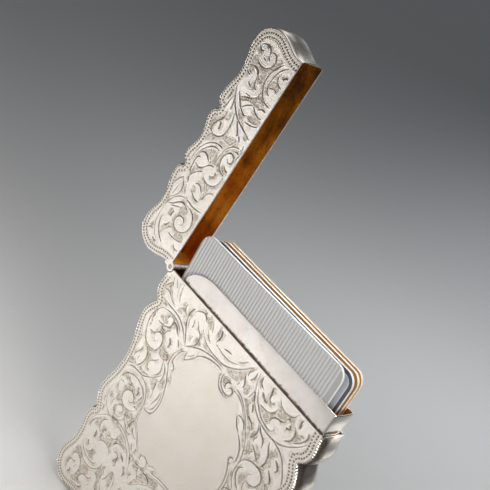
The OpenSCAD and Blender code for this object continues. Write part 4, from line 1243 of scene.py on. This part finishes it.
def build_plates():
    for F, cuts, grounds, reg, names, wall, bodyname, lid in (
            (F_BODY, BODY_CUTS, BODY_GROUNDS, body_region, ("body_front", "body_back"), .6, "case_body", False),
            (F_LID, LID, G_LID, lid_region, ("lid_front", "lid_back"), .45, "lid", True)):
        D, depth, tone, ground = engrave(F, cuts, grounds, np.ones(F.shape), 1.05 if lid else 1.2)
        r = np.hypot(F.X - HX, F.Z - HZ)
        if lid:
            ringcut = np.exp(-((r - .56) / .09) ** 2)
            plain = smoothstep(1.3, 2.6, r)
            depth = depth * plain + .02 * (1 - plain) + .05 * ringcut + .05 * smoothstep(1.0, 1.25, r) * (r < 1.3) * (F.Z < LID0)
            tone = np.clip(tone * plain + .7 * ringcut, 0, 1)
        else:
            plain = smoothstep(1.7, 3.2, r)
            depth = depth * plain + .02 * (1 - plain); tone = tone * plain
            lip = np.exp(-((MOUTH - F.Z) / .12) ** 2)
            depth = depth * (1 - lip) + .02 * lip; tone = tone * (1 - lip)
        region = reg(F, D)
        for name, front in zip(names, (True, False)):
            plate(name + "_plate_engraved", F, region, D, depth, tone, ground, wall, front, bodyname, [name + "_plate"], [M_ENG, M_GILT], lid=lid)


build_plates()
P, N = cut_run(MOUTH, 1, 26.62, -1)
band("body_band", P, N, .6, "case_body", ["body_side_band"], [M_POL, M_GILT])
P, N = cut_run(29.5, -1, LID0, 1)
band("lid_band", P, N, .45, "lid", ["lid_side_band"], [M_POL, M_GILT], lid=True)

# ---------------------------------------------------------------- collar and ledge
a = np.radians(np.arange(90, 181, 5))
sweep = np.c_[-25.4 + 9.5 + 9.5 * np.cos(a), MOUTH + 5.8 * np.sin(a)]
loop = [(30.34, 22.2), (30.34, 34.0)] + [tuple(q) for q in sweep] + [(-25.4, 22.2)]
slab("collar_front", loop, -7.9, -7.5, .19, "case_body", ["collar_front_wall"], [M_SAT, M_GILT], inner="back")
slab("collar_back", loop, -1.0, -.6, .19, "case_body", ["collar_back_wall"], [M_SAT, M_GILT], inner="front")


def collar_end():
    """The folded end of the collar: a sheet bent round two corners, a little full in the middle."""
    w = .36
    y = np.concatenate([np.linspace(-7.9, -7.5, 9), np.linspace(-7.3, -1.2, 25), np.linspace(-1.0, -.6, 9)])
    t = (y - MID) / 3.65
    x = 30.75 - .34 * np.abs(t) ** 2.4
    x -= .42 * (1 - np.sqrt(np.clip(1 - (np.clip(np.abs(y - MID) - 3.2, 0, .45) / .45) ** 2, 0, 1)))
    o = np.c_[x, y]
    i = np.c_[np.minimum(x - w, 30.35), np.clip(y, -7.55, -.95)]
    zs = [22.2, 28.0, 31, 33.7, 33.9, 34.0]
    L = len(o)
    v, f = [], []
    for z in zs:
        k = .35 * max(0, z - 33.8) / .2
        for p, q in zip(o, i):
            c = p * (1 - k) + q * k
            v.append((c[0], c[1], z))
        for p, q in zip(o[::-1], i[::-1]):
            c = q * (1 - k) + p * k
            v.append((c[0], c[1], z))
    R = 2 * L
    for a_ in range(len(zs) - 1):
        for b_ in range(R):
            c_ = (b_ + 1) % R
            f.append([a_ * R + b_, a_ * R + c_, (a_ + 1) * R + c_, (a_ + 1) * R + b_])
    top = (len(zs) - 1) * R
    for b_ in range(L - 1):
        f.append([top + b_, top + b_ + 1, top + R - 2 - b_, top + R - 1 - b_])
        f.append([b_ + 1, b_, R - 1 - b_, R - 2 - b_])
    v = np.array(v)
    f = outward(v, f)
    return make("collar_end", v, f, "case_body", ["collar_end_wall"], [M_POL], [0] * len(f), sharp=40)


collar_end()
v, f = box_part(30.74, 31.32, -7.88, -.62, 27.72, 28.16, .08)
make("ledge", v, f, "case_body", ["mouth_ledge"], [M_POL], sharp=40)

# ---------------------------------------------------------------- hinge
def knuckle(y0, y1):
    return lathe_y([(.45, y0 + .04), (.5, y0), (.95, y0), (1.05, y0 + .1), (1.05, y1 - .1), (.95, y1), (.5, y1), (.45, y1 - .04)], HX, HZ, 48)


# the body's leaf takes the near-black metal, a painted shadow in the gap under the barrel
parts = [box_part(-30.75, -30.35, -7.9, -.6, 23.2, 28.2, .05), knuckle(-2.75, -.6), knuckle(-7.9, -5.75)]
v, f = joined(parts)
on_leaf = [1] * len(parts[0][1]) + [0] * (len(f) - len(parts[0][1]))
make("body_hinge", v, outward(v, f), "case_body", ["body_hinge_leaf"], [M_HINGE, M_PAINTED_SHADOW], on_leaf, sharp=35)
parts = [box_part(-30.75, -30.35, -8.05, -.45, 28.3, 33.3, .05), knuckle(-5.65, -2.85)]
v, f = joined(parts)
on_leaf = [1] * len(parts[0][1]) + [0] * (len(f) - len(parts[0][1]))
make("lid_hinge_knuckle", v, outward(v, f), "lid", ["lid_hinge_leaf"], [M_HINGE, M_GILT], on_leaf, lid=True, sharp=35)
pin = [(0.001, -8.47), (.22, -8.46), (.34, -8.43), (.4, -8.36), (.4, -.14), (.34, -.07), (.22, -.04), (.001, -.03)]
v, f = lathe_y(pin, HX, HZ, 32)
f = [g for i, g in enumerate(f) if i % len(pin) != len(pin) - 1]
make("pin", v, outward(v, f), "lid", ["hinge_pin"], [M_HINGE], lid=True, sharp=35)

# ---------------------------------------------------------------- cards
CARD_W, CARD_L, CARD_R = 53.98, 85.6, 3.18


def card_loop(dx, lift, lean, inset=0.0):
    """The rounded outline of a card, clockwise turned by its lean, or a line inside it."""
    pts = []
    for cx, cz, a0 in ((1, 1, 0), (-1, 1, 90), (-1, -1, 180), (1, -1, 270)):
        for k in range(13):
            t = math.radians(a0 + 90 * k / 12)
            pts.append((cx * (CARD_W / 2 - CARD_R) + (CARD_R - inset) * math.cos(t), cz * (CARD_L / 2 - CARD_R) + (CARD_R - inset) * math.sin(t)))
    c, s = math.cos(math.radians(lean)), math.sin(math.radians(lean))
    z0 = -42.86 + lift + CARD_L / 2
    return [(dx + x * c - z * s, z0 + x * s + z * c) for x, z in pts], (c, s, z0)


CARDS = (
    ("card_1", .1, -.05, .6, -(T - 2.01) - .76, card("card_grey", (.62, .62, .612), (.95, .94, .90), .36)),
    ("card_2", 1.8, -.08, .1, -(T - 3.66) - .76, card("card_white", (.70, .74, .82), (.90, .91, .93), .14)),
    ("card_3", 1.9, .08, .1, -(T - 5.41) - .76, card("card_gold", (.66, .35, .09), (.94, .90, .80), .22, .45)),
    ("card_4", 1.7, -.01, .2, -(T - 7.26) - .76, card("card_tan", (.74, .42, .15), (.93, .80, .66), .25, .2)),
)


def ribs(dx, turn, y):
    """Slender raised ribs down the face of the front card, as closed half-round bars."""
    c, s, z0 = turn
    sec = [(-.34, .02), (-.32, -.030), (-.20, -.052), (0, -.056), (.20, -.052), (.32, -.030), (.34, .02)]
    V, Fc = [], []
    for x in np.arange(-26.2, 25.4, .985):
        over = max(0, abs(x) - (CARD_W / 2 - CARD_R))
        top = CARD_L / 2 - CARD_R + math.sqrt(max(0, CARD_R ** 2 - over ** 2)) - .35
        o = len(V)
        for z in (-top, top):
            for a, b in sec:
                V.append((dx + (x + a) * c - z * s, y + b, z0 + (x + a) * s + z * c))
        n = len(sec)
        for k in range(n):
            j = (k + 1) % n
            Fc.append([o + k, o + j, o + n + j, o + n + k])
        Fc.append([o + k for k in range(n)][::-1])
        Fc.append([o + n + k for k in range(n)])
    V = np.array(V)
    return V, outward(V, Fc)


for name, dx, lift, lean, y0, mats in CARDS:
    loop, turn = card_loop(dx, lift, lean)
    v, f, idx = slab_data(loop, y0, y0 + .76, .05, rings=2)
    idx[-1] = idx[-2] = 1
    mats = [mats[1], mats[0]]
    if name == "card_1":
        rib = card("card_rib", (.93, .925, .91), (.93, .925, .91), .30)[0]
        v2, f2 = ribs(dx, turn, y0)
        n = len(f)
        v, f = joined([(v, f), (v2, f2)])
        idx = list(idx) + [2] * (len(f) - n)
        mats.append(rib)
    if name == "card_2":
        # a dark margin and a thin pale line round the pale field
        n = len(loop)
        rings = [[(x, y0, z) for x, z in card_loop(dx, lift, lean, d)[0]] for d in (.95, 1.25)]
        o = len(v)
        v = np.vstack([v] + rings)
        at = [0, o, o + n]
        back = f.pop()
        f.pop()
        for r in (0, 1):
            f += [[at[r] + k, at[r] + (k + 1) % n, at[r + 1] + (k + 1) % n, at[r + 1] + k] for k in range(n)]
        f += [[at[2] + k for k in range(n)], back]
        idx = list(idx[:-2]) + [2] * n + [0] * n + [1, 1]
        mats.append(card("card_margin", (.11, .122, .15), (.11, .122, .15), .18)[0])
    make(name + "_card", v, f, "case_body", [name], mats, idx, sharp=40)
print("pieces built")

# ---------------------------------------------------------------- stage
def floor():
    me = bpy.data.meshes.new("floor")
    R = 40.0
    z = -45.42 * MM
    me.from_pydata([(-R, -R, z), (R, -R, z), (R, R, z), (-R, R, z)], [], [(0, 1, 2, 3)])
    ob = bpy.data.objects.new("floor", me)
    bpy.context.scene.collection.objects.link(ob)
    m = Mat("floor_paper")
    v = m.coords(1.0)
    n = m.noise(v, 1400, 2, .5)
    col = m.mix(m.maprange(n, .3, .7, 0, 1), (.70, .695, .69), (.72, .715, .71))
    m.set(Base_Color=col, Roughness=.9)
    m.bump(n, .05, .0001)
    me.materials.append(m.m)


floor()


def area(name, at, to, size, power, colour=(1, .985, .965), size_y=None, turn=0.0):
    d = bpy.data.lights.new(name, "AREA")
    d.energy = power
    d.color = colour
    d.shape = "RECTANGLE" if size_y else "SQUARE"
    d.size = size
    if size_y:
        d.size_y = size_y
    o = bpy.data.objects.new(name, d)
    o.location = at
    v = Vector(to) - Vector(at)
    o.rotation_euler = v.to_track_quat("-Z", "Y").to_euler() if v.xy.length > 1e-6 else (0, 0, math.radians(turn))
    o.visible_camera = False
    bpy.context.scene.collection.objects.link(o)
    return o


def down(name, x, y, z, size, power, size_y=None, turn=0.0, colour=(1, .985, .965)):
    return area(name, (x, y, z), (x, y, z - 1), size, power, colour, size_y, turn)


def limit(light, degrees):
    light.data.spread = math.radians(degrees)


# broad soft panels that face down in front of the case: the plates reflect the pale floor under them
limit(down("front_near", -.098, -.118, .08, .12, .112), 122)
limit(down("front_mid", -.10, -.20, .12, .20, .080), 130)
area("front_left", (-.360, -.430, .188), (-.494, -.817, -.812), .445, 2.25)
# long strips behind the case, which let the floor fade evenly into the distance
down("strip_right", .03, .83, .17, .16, .520, 1.3, 0, (.985, .985, 1))
down("strip_mid", .04, .66, .125, .10, .315, 1.2, 0, (.95, .975, 1))
down("strip_left", -.23, .80, .135, .10, .27, 1.5, 14, (.88, .95, 1))
down("back_near", -.02, .20, .10, .16, .038)
limit(down("right_near", .085, .115, .03, .06, .016), 80)
# soft boxes at the right and above for the edges, the cards and the gilding
limit(area("right_low", (.42, -.16, .10), (-.03, 0, .065), .22, .150, (1, .98, .95)), 50)
limit(area("overhead", (-.19, -.06, .59), (-.035, -.006, .09), .45, .050), 60)
limit(area("behind_lid", (-.370, .268, .510), (-.035, -.004, .094), .42, .022), 40)
limit(down("above_cards", 0, -.004, .115, .055, .0075, .02), 50)

w = bpy.data.worlds.new("studio")
bpy.context.scene.world = w
w.use_nodes = True
nt = w.node_tree
bg = nt.nodes["Background"]
tc = nt.nodes.new("ShaderNodeTexCoord")
sep = nt.nodes.new("ShaderNodeSeparateXYZ")
ramp = nt.nodes.new("ShaderNodeValToRGB")
nt.links.new(tc.outputs["Generated"], sep.inputs[0])
nt.links.new(sep.outputs["Z"], ramp.inputs["Fac"])
nt.links.new(ramp.outputs["Color"], bg.inputs["Color"])
ramp.color_ramp.elements[0].position = 0.0
ramp.color_ramp.elements[0].color = (.081, .086, .095, 1)
ramp.color_ramp.elements[1].position = 1.0
ramp.color_ramp.elements[1].color = (.140, .142, .149, 1)
bg.inputs["Strength"].default_value = 1.0

cam_data = bpy.data.cameras.new("camera")
cam_data.sensor_width = 36
cam_data.sensor_fit = "HORIZONTAL"
cam_data.lens = 67.02
cam_data.clip_start = .01
cam = bpy.data.objects.new("camera", cam_data)
right = Vector((.58318, .65489, .48064)); down = Vector((.58939, .06606, -.80514)); fwd = Vector((-.55903, .75283, -.34746))
rot = Matrix((right, -down, -fwd)).transposed()
cam.matrix_world = Matrix.Translation(Vector((108.284, -173.437, 123.785)) * MM) @ rot.to_4x4()
bpy.context.scene.collection.objects.link(cam)
bpy.context.scene.camera = cam
bpy.context.scene.view_settings.view_transform = "Standard"
bpy.context.scene.view_settings.exposure = 0.0
